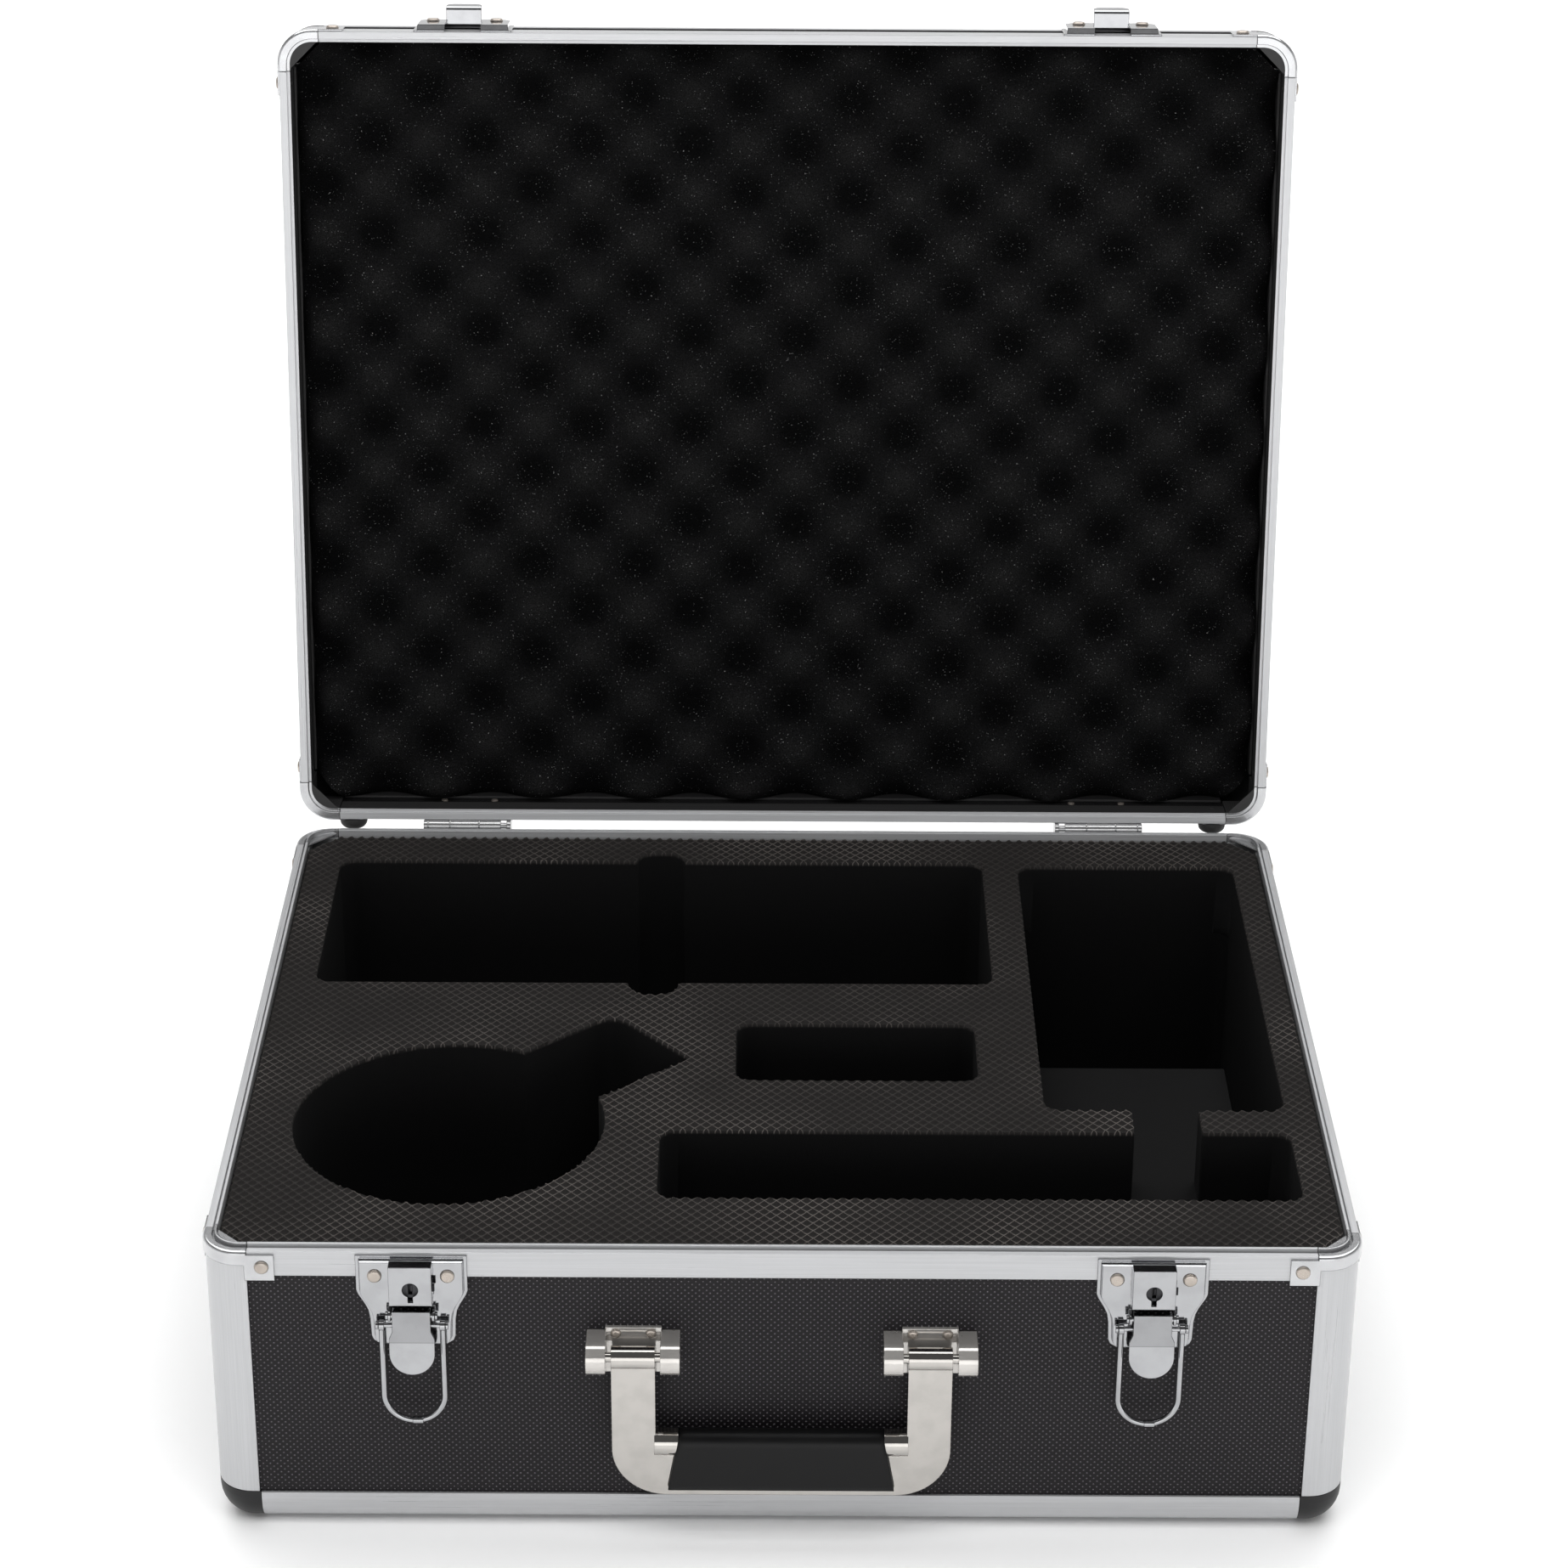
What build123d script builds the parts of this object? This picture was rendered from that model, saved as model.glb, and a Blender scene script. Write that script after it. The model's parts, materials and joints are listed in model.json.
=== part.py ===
from build123d import *
from math import radians, sin, sqrt, tan
import os

# Flight case: aluminium-edged tray and hinged lid, cut foam insert, two toggle latches
# with wire bails and key locks, and a carrying handle. Lengths in millimetres.
# X runs to the right, Y to the hinges, Z up. The origin is the middle of the footprint.
# The lid is modelled as a tray of its own and then turned over and swung open.

# overall sizes, over the aluminium edges
case_width = 460.0
case_depth = 373.0
base_height = 133.5
lid_height = 38.0
lid_gap = 0.5
open_angle = 98.6

# fits
seat_gap = 0.1
run_gap = 0.05
fixed_gap = 0.02
soft_gap = 0.4

# edge profiles: rounded outer skin and an inner angle that holds the panels
edge_radius = 15.0
edge_leg = 17.8
skin = 1.2
inner_skin = 1.1
panel_slot = 3.0
field_rise = 0.3
field_room = 0.4

# rim profiles
rim_flange = 11.2
rim_inner_flange = 12.0
rim_web = 3.0
ledge = 2.9
rim_groove = 1.0
rim_groove_depth = 1.5
tongue_width = 1.1
tongue_rise = 1.4
lid_step_width = 1.6
lid_step_depth = 1.4

# corner caps and pressed rim brackets
cap_leg = 18.5
joint_gap = 0.2
bracket_sheet = 0.9
bracket_leg = 18.0
bracket_top = 2.4
bracket_skirt = 6.0
ear_reach = 29.0
ear_drop = 13.0
ear_overlap = 1.0
ear_rivet_in = 24.0
ear_rivet_down = 6.8
gusset_reach = 17.0
gusset_sheet = 0.8
gusset_drop = 0.4
bracket_round = 1.4

# rivets
rivet_shank = 3.2
rivet_head = 5.8
rivet_dome = 1.2
rivet_short = 0.3
rivet_round = 1.05
small_rivet_shank = 2.4
small_rivet_head = 4.2

# foam insert
pad_thickness = 9.5
insert_drop = 1.5
edge_room = 0.4
insert_corner = 18.5
cut_round = 7.0
long_slot_left = -208.0
long_slot_right = 93.5
long_slot_front = 225.0
long_slot_back = 343.0
notch_middle = -57.5
notch_width = 22.0
notch_front = 214.5
notch_back = 352.0
deep_left = 110.5
deep_right = 211.5
deep_front = 116.0
deep_back = 340.0
shelf_right = 197.0
shelf_back = 211.0
shelf_depth = 35.0
small_left = -20.0
small_right = 83.5
small_front = 140.0
small_back = 188.0
narrow_left = -51.0
narrow_right = 211.5
narrow_front = 45.0
narrow_back = 97.5
channel_left = 147.0
channel_right = 175.0
round_middle_x = -139.5
round_middle_front = 104.0
round_diameter = 130.0
neck_width = 50.5
neck_reach = 110.0
neck_angle = 41.5
neck_round = 9.0
neck_tip_round = 2.0

# egg-crate foam in the lid
lid_foam_base = 9.0
peak_height = 11.0
peak_root = 21.0
peak_tip = 8.0
peak_pitch_x = 50.0
peak_pitch_y = 43.0
foam_band = 14.0

# hinges
hinge_from_end = 79.0
hinge_offset = 2.95
knuckle_radius = 2.6
hinge_pin = 3.0
leaf_width = 41.5
leaf_sheet = 1.2
leaf_height = 24.0
leaf_start = 2.4
knuckle_outer = 10.2
knuckle_middle = 13.6
knuckle_gap = 0.3
cheek = 1.9
cheek_reach = 8.0
cheek_room = 0.4
cheek_share = 0.75
cheek_nose = 4.0
knuckle_wrap = 1.0
hinge_rivet_apart = 24.0
hinge_rivet_down = 17.0
stop_room = 0.8

# rubber feet on the hinge side
foot_diameter = 13.0
foot_height = 6.0
foot_round = 3.6
base_foot_up = 26.0
base_foot_in = 26.0
foot_stub = 3.2

# toggle latches, depths measured out from the edge profiles and heights down from the rim
latch_from_end = 83.2
plate_stand = 3.2
plate_sheet = 1.0
plate_border = 2.4
plate_lip = 0.8
plate_top_down = 1.2
plate_half = 22.1
# pairs of how far in from the plate's side and how far down each bend of its outline lies
plate_bends = ((0.0, 17.2), (0.7, 19.2), (3.2, 23.6), (4.5, 26.6), (5.1, 30.5), (5.4, 38.6),
               (6.2, 40.6), (8.9, 42.4))
latch_rivet_half = 14.4
latch_rivet_down = 9.0
box_half = 8.5
box_top_down = 2.0
box_height = 18.0
box_stand = 5.4
box_sheet = 1.0
box_round = 0.8
keyhole_down = 12.3
keyhole_diameter = 6.4
keyhole_slot = 2.0
keyhole_slot_reach = 5.8
plug_diameter = 8.0
plug_journal = 4.0
key_slot = 1.6
key_slot_reach = 5.0
key_slot_depth = 2.0
cam_width = 3.0
cam_sheet = 1.2
cam_reach = 9.5
cam_from_plate = 2.4
cam_room = 0.4
pivot_down = 25.4
pivot_stand = 6.4
pivot_pin = 2.2
pivot_head = 3.4
pivot_head_length = 1.0
ear_in = 8.2
ear_sheet = 1.0
ear_radius = 2.4
window_half = 8.0
window_above = 3.8
window_below = 7.5
lever_half = 7.6
lever_wide_half = 9.0
lever_sheet = 0.8
lever_flange = 1.0
lever_above = 3.2
lever_face = 2.0
lever_back = 2.4
lever_flange_start = 0.6
lever_flange_edge = 1.8
lever_flange_down = 8.0
lever_shoulder_down = 6.0
lever_wide_down = 9.5
lever_crease_down = 10.6
lever_tip_down = 24.9
lever_kick = 8.0
bail_pin_down = 5.0
bail_pin_in = 0.7
bail_pin = 2.0
bail_half = 12.1
bail_wire = 2.4
bail_length = 45.2
bail_eye = 4.2
bail_eye_width = 2.1
bail_joint_length = 4.2
bail_joint_diameter = 2.9
bail_joint_aside = 1.0

# catches on the lid, heights up from the lid's rim
catch_start = 0.8
catch_height = 24.0
catch_taper = 4.0
catch_rivet_up = 17.0
hook_half = 8.0
hook_sheet = 1.2
bail_seat_stand = 7.2
hook_room = 0.3
hook_tip_up = 17.6
hook_lean = 0.6
hook_bend = 1.8
hook_corner = 3.5

# carrying handle
bracket_centre = 59.2
handle_pivot_up = 90.0
handle_pivot_out = 8.0
handle_pin = 4.0
handle_pin_short = 1.0
lug_radius = 7.0
lug_in = 10.9
lug_width = 7.8
handle_plate = 1.8
handle_tab_half = 11.3
handle_tab_up = 99.0
handle_tab_down = 78.0
handle_rivet_half = 7.0
handle_rivet_up = 96.4
barrel_radius = 4.6
arm_width = 17.5
arm_thickness = 5.5
frame_drop = 64.3
frame_round = 22.0
frame_inner_round = 3.0
frame_strip = 4.0
frame_shoulder = 19.0
collar_diameter = 11.0
collar_up = 24.0
collar_in = 1.6
collar_out = 0.5
grip_top_half = 41.0
grip_bottom_half = 45.5
grip_top_up = 29.5
grip_depth = 11.4
grip_round = 5.5

# values that follow from the sizes above
panel_inset = skin + seat_gap
panel_thickness = panel_slot - 2 * seat_gap
panel_edge = edge_radius + joint_gap
field_inset = cap_leg + field_room
inner_face = skin + panel_slot
rim_thickness = ledge + rim_groove + tongue_width
insert_top = base_height - insert_drop
insert_inset = rim_thickness + edge_room
pad_floor = inner_face + inner_skin
latch_centre = case_width / 2 - latch_from_end
hinge_centre = case_width / 2 - hinge_from_end
hinge_y = case_depth / 2 + hinge_offset
hinge_z = base_height + lid_gap / 2
plug_hole = rivet_shank + 2 * fixed_gap
small_hole = small_rivet_shank + 2 * fixed_gap
bail_seat_up = bail_length - pivot_down - bail_pin_down - lid_gap
hook_inside = bail_seat_stand + bail_joint_diameter / 2 + hook_room
hook_root_up = bail_seat_up - bail_joint_diameter / 2 - hook_room
inner_start = edge_radius - sqrt((edge_radius - skin / 2) ** 2 - (edge_radius - inner_face) ** 2)

os.makedirs("parts", exist_ok=True)


def wall_span(side):
    """Length of a wall: 0 front, 1 right, 2 back, 3 left."""
    return case_width if side % 2 == 0 else case_depth


def wall_plane(side, depth):
    """Plane on a wall, depth in from its edge profiles, facing out with its y axis up."""
    reach = (case_depth if side % 2 == 0 else case_width) / 2 - depth
    out = ((0, -1, 0), (1, 0, 0), (0, 1, 0), (-1, 0, 0))[side]
    along = ((1, 0, 0), (0, 1, 0), (-1, 0, 0), (0, -1, 0))[side]
    return Plane(origin=tuple(reach * part for part in out), x_dir=along, z_dir=out)


def run_plane(side, length, height):
    """Plane across the start of a run along a wall: x axis inward, y axis up."""
    base = wall_plane(side, 0)
    start = base.from_local_coords((-length / 2, height, 0))
    return Plane(origin=start, x_dir=tuple(-base.z_dir), z_dir=tuple(base.x_dir))


def corner_plane(corner, height):
    """Level plane with its origin on an outer corner and its axes along the two walls."""
    sign_x, sign_y = ((-1, -1), (1, -1), (1, 1), (-1, 1))[corner]
    along = ((1, 0, 0), (0, 1, 0), (-1, 0, 0), (0, -1, 0))[corner]
    place = (sign_x * case_width / 2, sign_y * case_depth / 2, height)
    return Plane(origin=place, x_dir=along, z_dir=(0, 0, 1))


def hinge_location():
    """Turn about the hinge axis from the shut lid to the open lid."""
    there = Location((0, hinge_y, hinge_z))
    back = Location((0, -hinge_y, -hinge_z))
    return there * Location((0, 0, 0), (-open_angle, 0, 0)) * back


def on_lid(piece):
    """Turn a piece of the lid's own tray over, and carry it to the open lid."""
    lid_top = base_height + lid_gap + lid_height
    turned = Location((0, 0, lid_top), (0, 180, 0))
    return piece.moved(hinge_location() * turned)


def ear_rivet_places(side):
    """Places of the two bracket rivets along a wall."""
    reach = wall_span(side) / 2 - ear_rivet_in
    return (-reach, reach)


def wall_panel(side, height, rivets=(), small_rivets=()):
    """Flat laminated wall panel with its rivet holes, between the rim and the edge."""
    length = wall_span(side) - 2 * panel_edge
    top = height - rim_web - seat_gap
    with BuildPart() as panel:
        with BuildSketch(wall_plane(side, panel_inset + panel_thickness)):
            with Locations((0, (panel_edge + top) / 2)):
                Rectangle(length, top - panel_edge)
            with Locations(*[(x, height - ear_rivet_down) for x in ear_rivet_places(side)]):
                Circle(plug_hole / 2, mode=Mode.SUBTRACT)
            if rivets:
                with Locations(*rivets):
                    Circle(plug_hole / 2, mode=Mode.SUBTRACT)
            if small_rivets:
                with Locations(*small_rivets):
                    Circle(small_hole / 2, mode=Mode.SUBTRACT)
        extrude(amount=panel_thickness)
    return panel.part


def flat_panel():
    """Bottom panel of a tray, its middle a little proud of the border in the profiles' slots."""
    with BuildPart() as panel:
        with BuildSketch(Plane.XY.offset(panel_inset)):
            Rectangle(case_width - 2 * panel_edge, case_depth - 2 * panel_edge)
        extrude(amount=panel_thickness)
        with BuildSketch(Plane.XY.offset(panel_inset - field_rise)):
            Rectangle(case_width - 2 * field_inset, case_depth - 2 * field_inset)
        extrude(amount=field_rise)
    return panel.part


def edge_profile(start, length):
    """Edge profile: a rounded skin outside and an angle inside, with a slot for each panel."""
    with BuildPart() as profile:
        with BuildSketch(start):
            with BuildLine():
                Line((edge_leg, 0), (edge_radius, 0))
                RadiusArc((edge_radius, 0), (0, edge_radius), edge_radius)
                Line((0, edge_radius), (0, edge_leg))
                Line((0, edge_leg), (skin, edge_leg))
                Line((skin, edge_leg), (skin, edge_radius))
                RadiusArc((skin, edge_radius), (edge_radius, skin), skin - edge_radius)
                Line((edge_radius, skin), (edge_leg, skin))
                Line((edge_leg, skin), (edge_leg, 0))
            make_face()
            with BuildLine():
                Polyline(
                    (inner_face, inner_start),
                    (inner_face, edge_leg),
                    (inner_face + inner_skin, edge_leg),
                    (inner_face + inner_skin, inner_face + inner_skin),
                    (edge_leg, inner_face + inner_skin),
                    (edge_leg, inner_face),
                    (inner_start, inner_face),
                    close=True,
                )
            make_face()
        extrude(amount=length)
    return profile.part


def rim_profile(side, height, has_tongue, rivets=()):
    """Rim profile along a wall. The base's carries a tongue, the lid's a step for it."""
    length = wall_span(side) - 2 * (bracket_leg + joint_gap)
    inner_low = -rim_inner_flange
    with BuildPart() as profile:
        with BuildSketch(run_plane(side, length, height)):
            with BuildLine():
                if has_tongue:
                    top = [
                        (rim_thickness, tongue_rise),
                        (ledge + rim_groove, tongue_rise),
                        (ledge + rim_groove, -rim_groove_depth),
                        (ledge, -rim_groove_depth),
                        (ledge, 0),
                    ]
                else:
                    top = [
                        (rim_thickness, -lid_step_depth),
                        (rim_thickness - lid_step_width, -lid_step_depth),
                        (rim_thickness - lid_step_width, 0),
                    ]
                Polyline(
                    (0, 0),
                    (0, -rim_flange),
                    (skin, -rim_flange),
                    (skin, -rim_web),
                    (inner_face, -rim_web),
                    (inner_face, inner_low),
                    (rim_thickness, inner_low),
                    *top,
                    close=True,
                )
            make_face()
        extrude(amount=length)
        with BuildSketch(wall_plane(side, rim_thickness)):
            with Locations(*[(x, height - ear_rivet_down) for x in ear_rivet_places(side)]):
                Circle(plug_hole / 2)
            if rivets:
                with Locations(*rivets):
                    Circle(plug_hole / 2)
        extrude(amount=rim_thickness, mode=Mode.SUBTRACT)
    return profile.part


def rounded_corner(corner, inset, reach):
    """Block with its three outer edges rounded, inset from a tray's outer corner."""
    side = reach - inset
    tip = corner_plane(corner, inset).from_local_coords((inset, inset, 0))
    with BuildPart() as block:
        with BuildSketch(corner_plane(corner, inset)):
            with Locations((inset + side / 2, inset + side / 2)):
                Rectangle(side, side)
        extrude(amount=side)
        outer = block.edges().sort_by(lambda edge: (edge.center() - tip).length)[:3]
        fillet(outer, radius=edge_radius - inset)
    return block.part


def corner_cap(corner):
    """Moulded cap over the meeting of three edge profiles, as thick as their skin."""
    reach = cap_leg - joint_gap
    with BuildPart() as cap:
        add(rounded_corner(corner, 0, reach))
        add(rounded_corner(corner, skin, reach + 2 * edge_radius), mode=Mode.SUBTRACT)
    return cap.part


def corner_band(near, far, reach):
    """Closed outline around a corner between two insets, drawn in the open line builder."""
    out = edge_radius - near
    inside = edge_radius - far
    Line((reach, near), (edge_radius, near))
    RadiusArc((edge_radius, near), (near, edge_radius), out)
    Line((near, edge_radius), (near, reach))
    Line((near, reach), (far, reach))
    Line((far, reach), (far, edge_radius))
    RadiusArc((far, edge_radius), (edge_radius, far), -inside)
    Line((edge_radius, far), (reach, far))
    Line((reach, far), (reach, near))


def rim_bracket(corner, height, has_tongue):
    """Pressed bracket on a rim corner: wrap-round skirt, two riveted ears and a gusset."""
    outside = -bracket_sheet
    with BuildPart() as bracket:
        with BuildSketch(corner_plane(corner, height - bracket_skirt)):
            with BuildLine():
                corner_band(outside, 0, bracket_leg)
            make_face()
        extrude(amount=bracket_skirt)
        with BuildSketch(corner_plane(corner, height - bracket_top)):
            with BuildLine():
                corner_band(outside, rim_thickness, bracket_leg)
            make_face()
        extrude(amount=bracket_top)
        rolled = bracket.faces().sort_by(Axis.Z)[-1].edges()
        far_out = corner_plane(corner, height).from_local_coords((outside, outside, 0))
        outer = rolled.sort_by(lambda edge: (edge.center() - far_out).length)[:1]
        fillet(outer, radius=bracket_round)
        with BuildSketch(corner_plane(corner, height - ear_drop)):
            middle = (bracket_leg - ear_overlap + ear_reach) / 2
            length = ear_reach - bracket_leg + ear_overlap
            with Locations((middle, outside / 2)):
                Rectangle(length, bracket_sheet)
            with Locations((outside / 2, middle)):
                Rectangle(bracket_sheet, length)
        extrude(amount=ear_drop - bracket_round)
        if has_tongue:
            with BuildSketch(corner_plane(corner, height - rim_groove_depth)):
                with BuildLine():
                    corner_band(ledge, ledge + rim_groove, bracket_leg)
                make_face()
            extrude(amount=rim_groove_depth, mode=Mode.SUBTRACT)
            with BuildSketch(corner_plane(corner, height - bracket_top)):
                with BuildLine():
                    corner_band(ledge + rim_groove, rim_thickness, bracket_leg)
                make_face()
            extrude(amount=bracket_top + tongue_rise)
        else:
            with BuildSketch(corner_plane(corner, height - lid_step_depth)):
                with BuildLine():
                    corner_band(rim_thickness - lid_step_width, rim_thickness, bracket_leg)
                make_face()
            extrude(amount=lid_step_depth, mode=Mode.SUBTRACT)
        level = height - (gusset_drop if has_tongue else lid_step_depth) - gusset_sheet
        with BuildSketch(corner_plane(corner, level)):
            with BuildLine():
                Line((rim_thickness, gusset_reach), (gusset_reach, rim_thickness))
                Line((gusset_reach, rim_thickness), (edge_radius, rim_thickness))
                arc = edge_radius - rim_thickness
                RadiusArc((edge_radius, rim_thickness), (rim_thickness, edge_radius), arc)
                Line((rim_thickness, edge_radius), (rim_thickness, gusset_reach))
            make_face()
        extrude(amount=gusset_sheet)
        for plane in ear_planes(corner, height, 0):
            with BuildSketch(plane):
                Circle(plug_hole / 2)
            extrude(amount=bracket_sheet, mode=Mode.SUBTRACT)
    return bracket.part


def ear_planes(corner, height, depth):
    """Planes facing out at the two ear rivets of a corner, depth in from the wall."""
    level = corner_plane(corner, height - ear_rivet_down)
    first = level.from_local_coords((ear_rivet_in, depth, 0))
    second = level.from_local_coords((depth, ear_rivet_in, 0))
    return (
        Plane(origin=first, x_dir=tuple(level.x_dir), z_dir=tuple(-level.y_dir)),
        Plane(origin=second, x_dir=tuple(level.y_dir), z_dir=tuple(-level.x_dir)),
    )


def rivet(seat, grip_length, shank, head):
    """Round-head rivet: domed head on the seat plane and shank behind it."""
    with BuildPart() as stud:
        with BuildSketch(seat):
            Circle(head / 2)
        extrude(amount=rivet_dome)
        fillet(stud.edges().filter_by(GeomType.CIRCLE).sort_by(Axis(seat.origin, seat.z_dir))[-1:],
               radius=rivet_round)
        with BuildSketch(seat):
            Circle(shank / 2)
        extrude(amount=-grip_length)
    return stud.part


def ear_rivets(height, with_back=True):
    """The rivets of a tray's rim brackets. On the lid, feet take the place of the back ones."""
    grip_length = rim_thickness + bracket_sheet - rivet_short
    pieces = []
    for corner in range(4):
        for plane in ear_planes(corner, height, -bracket_sheet):
            if with_back or plane.z_dir.Y < 0.5:
                pieces.append(rivet(plane, grip_length, rivet_shank, rivet_head))
    return pieces


def wall_rivets(side, places, stand, grip_length, shank, head):
    """Rivets through a wall at the given places, heads at the given stand-off."""
    pieces = []
    for x, y in places:
        seat = wall_plane(side, -stand)
        plane = Plane(origin=seat.from_local_coords((x, y, 0)), x_dir=tuple(seat.x_dir),
                      z_dir=tuple(seat.z_dir))
        pieces.append(rivet(plane, grip_length, shank, head))
    return pieces


def tray_edges():
    """The four edge profiles round a tray's bottom."""
    pieces = []
    for side in range(4):
        length = wall_span(side) - 2 * cap_leg
        pieces.append(edge_profile(run_plane(side, length, 0), length))
    return pieces


def tray_posts(height):
    """The four upright edge profiles at a tray's corners."""
    length = height - cap_leg - bracket_top - joint_gap
    return [edge_profile(corner_plane(corner, cap_leg), length) for corner in range(4)]


def group(label, pieces):
    """One named node made of separate solids."""
    return Compound(list(pieces), label=label)


def save(label, piece):
    """Write one named node."""
    piece.label = label
    export_step(piece, "parts/" + label + ".step")


# places of the rivets on the front and back walls, in the wall planes' own axes
def latch_rivet_places(height):
    """Rivet places of both latch plates on the front wall."""
    down = height - latch_rivet_down
    return [(side * latch_centre + half, down)
            for side in (-1, 1) for half in (-latch_rivet_half, latch_rivet_half)]


def handle_rivet_places():
    """Rivet places of both handle brackets on the front wall."""
    return [(side * bracket_centre + half, handle_rivet_up)
            for side in (-1, 1) for half in (-handle_rivet_half, handle_rivet_half)]


def hinge_rivet_places(height):
    """Rivet places of both hinge leaves on the back wall."""
    half = hinge_rivet_apart / 2
    down = height - hinge_rivet_down
    return [(side * hinge_centre + offset, down) for side in (-1, 1) for offset in (-half, half)]


def foot_places(height_up, from_side):
    """Places of the two feet on the back wall."""
    centre = case_width / 2 - from_side
    return [(-centre, height_up), (centre, height_up)]


def catch_rivet_places():
    """Rivet places of both catches on the lid's latch wall."""
    down = lid_height - catch_rivet_up
    return [(side * latch_centre + half, down)
            for side in (-1, 1) for half in (-latch_rivet_half, latch_rivet_half)]


def from_front(value):
    """Y of a line measured back from the outside of the front wall."""
    return value - case_depth / 2


def box_cut(left, right, front, back):
    """Rounded rectangle of a foam cut-out, in the open sketch builder."""
    with Locations(((left + right) / 2, (from_front(front) + from_front(back)) / 2)):
        RectangleRounded(right - left, back - front, cut_round, mode=Mode.ADD)


def neck_shape():
    """Neck of the round cut-out along X, with one round and one sharp end corner."""
    with BuildSketch() as neck:
        Rectangle(neck_reach, neck_width, align=(Align.MIN, Align.CENTER))
        fillet(neck.vertices().sort_by(Axis.X)[-2:].sort_by(Axis.Y)[-1], neck_round)
        fillet(neck.vertices().sort_by(Axis.X)[-2:].sort_by(Axis.Y)[0], neck_tip_round)
    return neck.sketch


def foam_insert():
    """Foam block cut for the camera kit, with a shelf and a shallow channel."""
    low = pad_floor + pad_thickness + soft_gap
    height = insert_top - low
    width = case_width - 2 * insert_inset
    depth = case_depth - 2 * insert_inset
    with BuildPart() as insert:
        with BuildSketch(Plane.XY.offset(low)):
            corner = Rectangle(width, depth)
            chamfer(corner.vertices(), length=insert_corner - insert_inset)
        extrude(amount=height)
        with BuildSketch(Plane.XY.offset(low)):
            box_cut(long_slot_left, long_slot_right, long_slot_front, long_slot_back)
            with Locations((notch_middle, (from_front(notch_front) + from_front(notch_back)) / 2)):
                SlotOverall(notch_back - notch_front, notch_width, rotation=90)
            box_cut(small_left, small_right, small_front, small_back)
            with Locations((round_middle_x, from_front(round_middle_front))):
                Circle(round_diameter / 2)
        extrude(amount=height, mode=Mode.SUBTRACT)
        with BuildSketch(Plane.XY.offset(low)):
            with Locations((round_middle_x, from_front(round_middle_front))):
                add(neck_shape(), rotation=neck_angle)
        extrude(amount=height, mode=Mode.SUBTRACT)
        with BuildSketch(Plane.XY.offset(insert_top - shelf_depth)):
            box_cut(deep_left, deep_right, deep_front, deep_back)
            box_cut(narrow_left, narrow_right, narrow_front, narrow_back)
            with Locations(((channel_left + channel_right) / 2,
                            (from_front(deep_front) + from_front(narrow_back)) / 2)):
                Rectangle(channel_right - channel_left, deep_front - narrow_back + 2 * cut_round)
        extrude(amount=shelf_depth, mode=Mode.SUBTRACT)
        with BuildSketch(Plane.XY.offset(low)):
            box_cut(narrow_left, narrow_right, narrow_front, narrow_back)
            box_cut(deep_left, deep_right, shelf_back, deep_back)
            box_cut(shelf_right, deep_right, deep_front, deep_back)
        extrude(amount=height - shelf_depth, mode=Mode.SUBTRACT)
    return insert.part


def foam_pad():
    """Flat foam pad under the insert."""
    inset = inner_face + inner_skin + edge_room
    with BuildPart() as pad:
        with BuildSketch(Plane.XY.offset(pad_floor + soft_gap / 2)):
            corner = Rectangle(case_width - 2 * inset, case_depth - 2 * inset)
            chamfer(corner.vertices(), length=insert_corner - inset)
        extrude(amount=pad_thickness)
    return pad.part


def egg_crate_foam():
    """Egg-crate foam in the lid: a sheet with rows of rounded peaks, set off by half a pitch."""
    low = pad_floor + soft_gap / 2
    inset = rim_thickness + edge_room
    width = case_width - 2 * inset
    depth = case_depth - 2 * inset
    peak_half_x = width / 2 - foam_band - peak_root / 2
    peak_half_y = depth / 2 - foam_band - peak_root / 2
    rows = int(peak_half_y / (peak_pitch_y / 2))
    places = []
    for row in range(-rows, rows + 1):
        shift = peak_pitch_x / 2 if row % 2 else 0
        count = int((peak_half_x - shift) / peak_pitch_x)
        columns = range(-count - (1 if shift else 0), count + 1)
        places += [(shift + peak_pitch_x * column, row * peak_pitch_y / 2) for column in columns]
    with BuildPart() as foam:
        with BuildSketch(Plane.XY.offset(low)):
            corner = Rectangle(width, depth)
            chamfer(corner.vertices(), length=insert_corner - inset)
        extrude(amount=lid_foam_base)
        with Locations(*[(x, y, low + lid_foam_base + peak_height / 2) for x, y in places]):
            Cone(peak_root / 2, peak_tip / 2, peak_height)
    return foam.part


def hinge_plane(x):
    """Plane across the hinge axis at x: x axis back, y axis up, from the hinge axis."""
    return Plane(origin=(x, hinge_y, hinge_z), x_dir=(0, 1, 0), z_dir=(1, 0, 0))


def hinge_spans(side):
    """Spans along X of the cheeks and knuckles of a hinge, measured from its centre."""
    half = leaf_width / 2
    start = -half + cheek + knuckle_gap
    first = (start, start + knuckle_outer)
    second = (first[1] + knuckle_gap, first[1] + knuckle_gap + knuckle_middle)
    third = (second[1] + knuckle_gap, second[1] + knuckle_gap + knuckle_outer)
    spans = [(-half, -half + cheek), first, second, third, (half - cheek, half)]
    if side > 0:
        spans = [(-b, -a) for a, b in reversed(spans)]
    return spans


def hinge_cheek(way):
    """Corner points of a hinge leaf's side cheek. Its slanted face is the stop."""
    wall = -hinge_offset
    start = way * (lid_gap / 2 + leaf_start)
    end = way * leaf_height * cheek_share
    far = cheek_reach - hinge_offset
    stop = far * tan(radians(open_angle / 2 + stop_room))
    return [
        (wall, start),
        (wall, end),
        (wall + leaf_sheet, end),
        (far, way * (stop + cheek_nose)),
        (far, way * stop),
        (0, 0),
        (wall + cheek_room, start),
    ]


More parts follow.
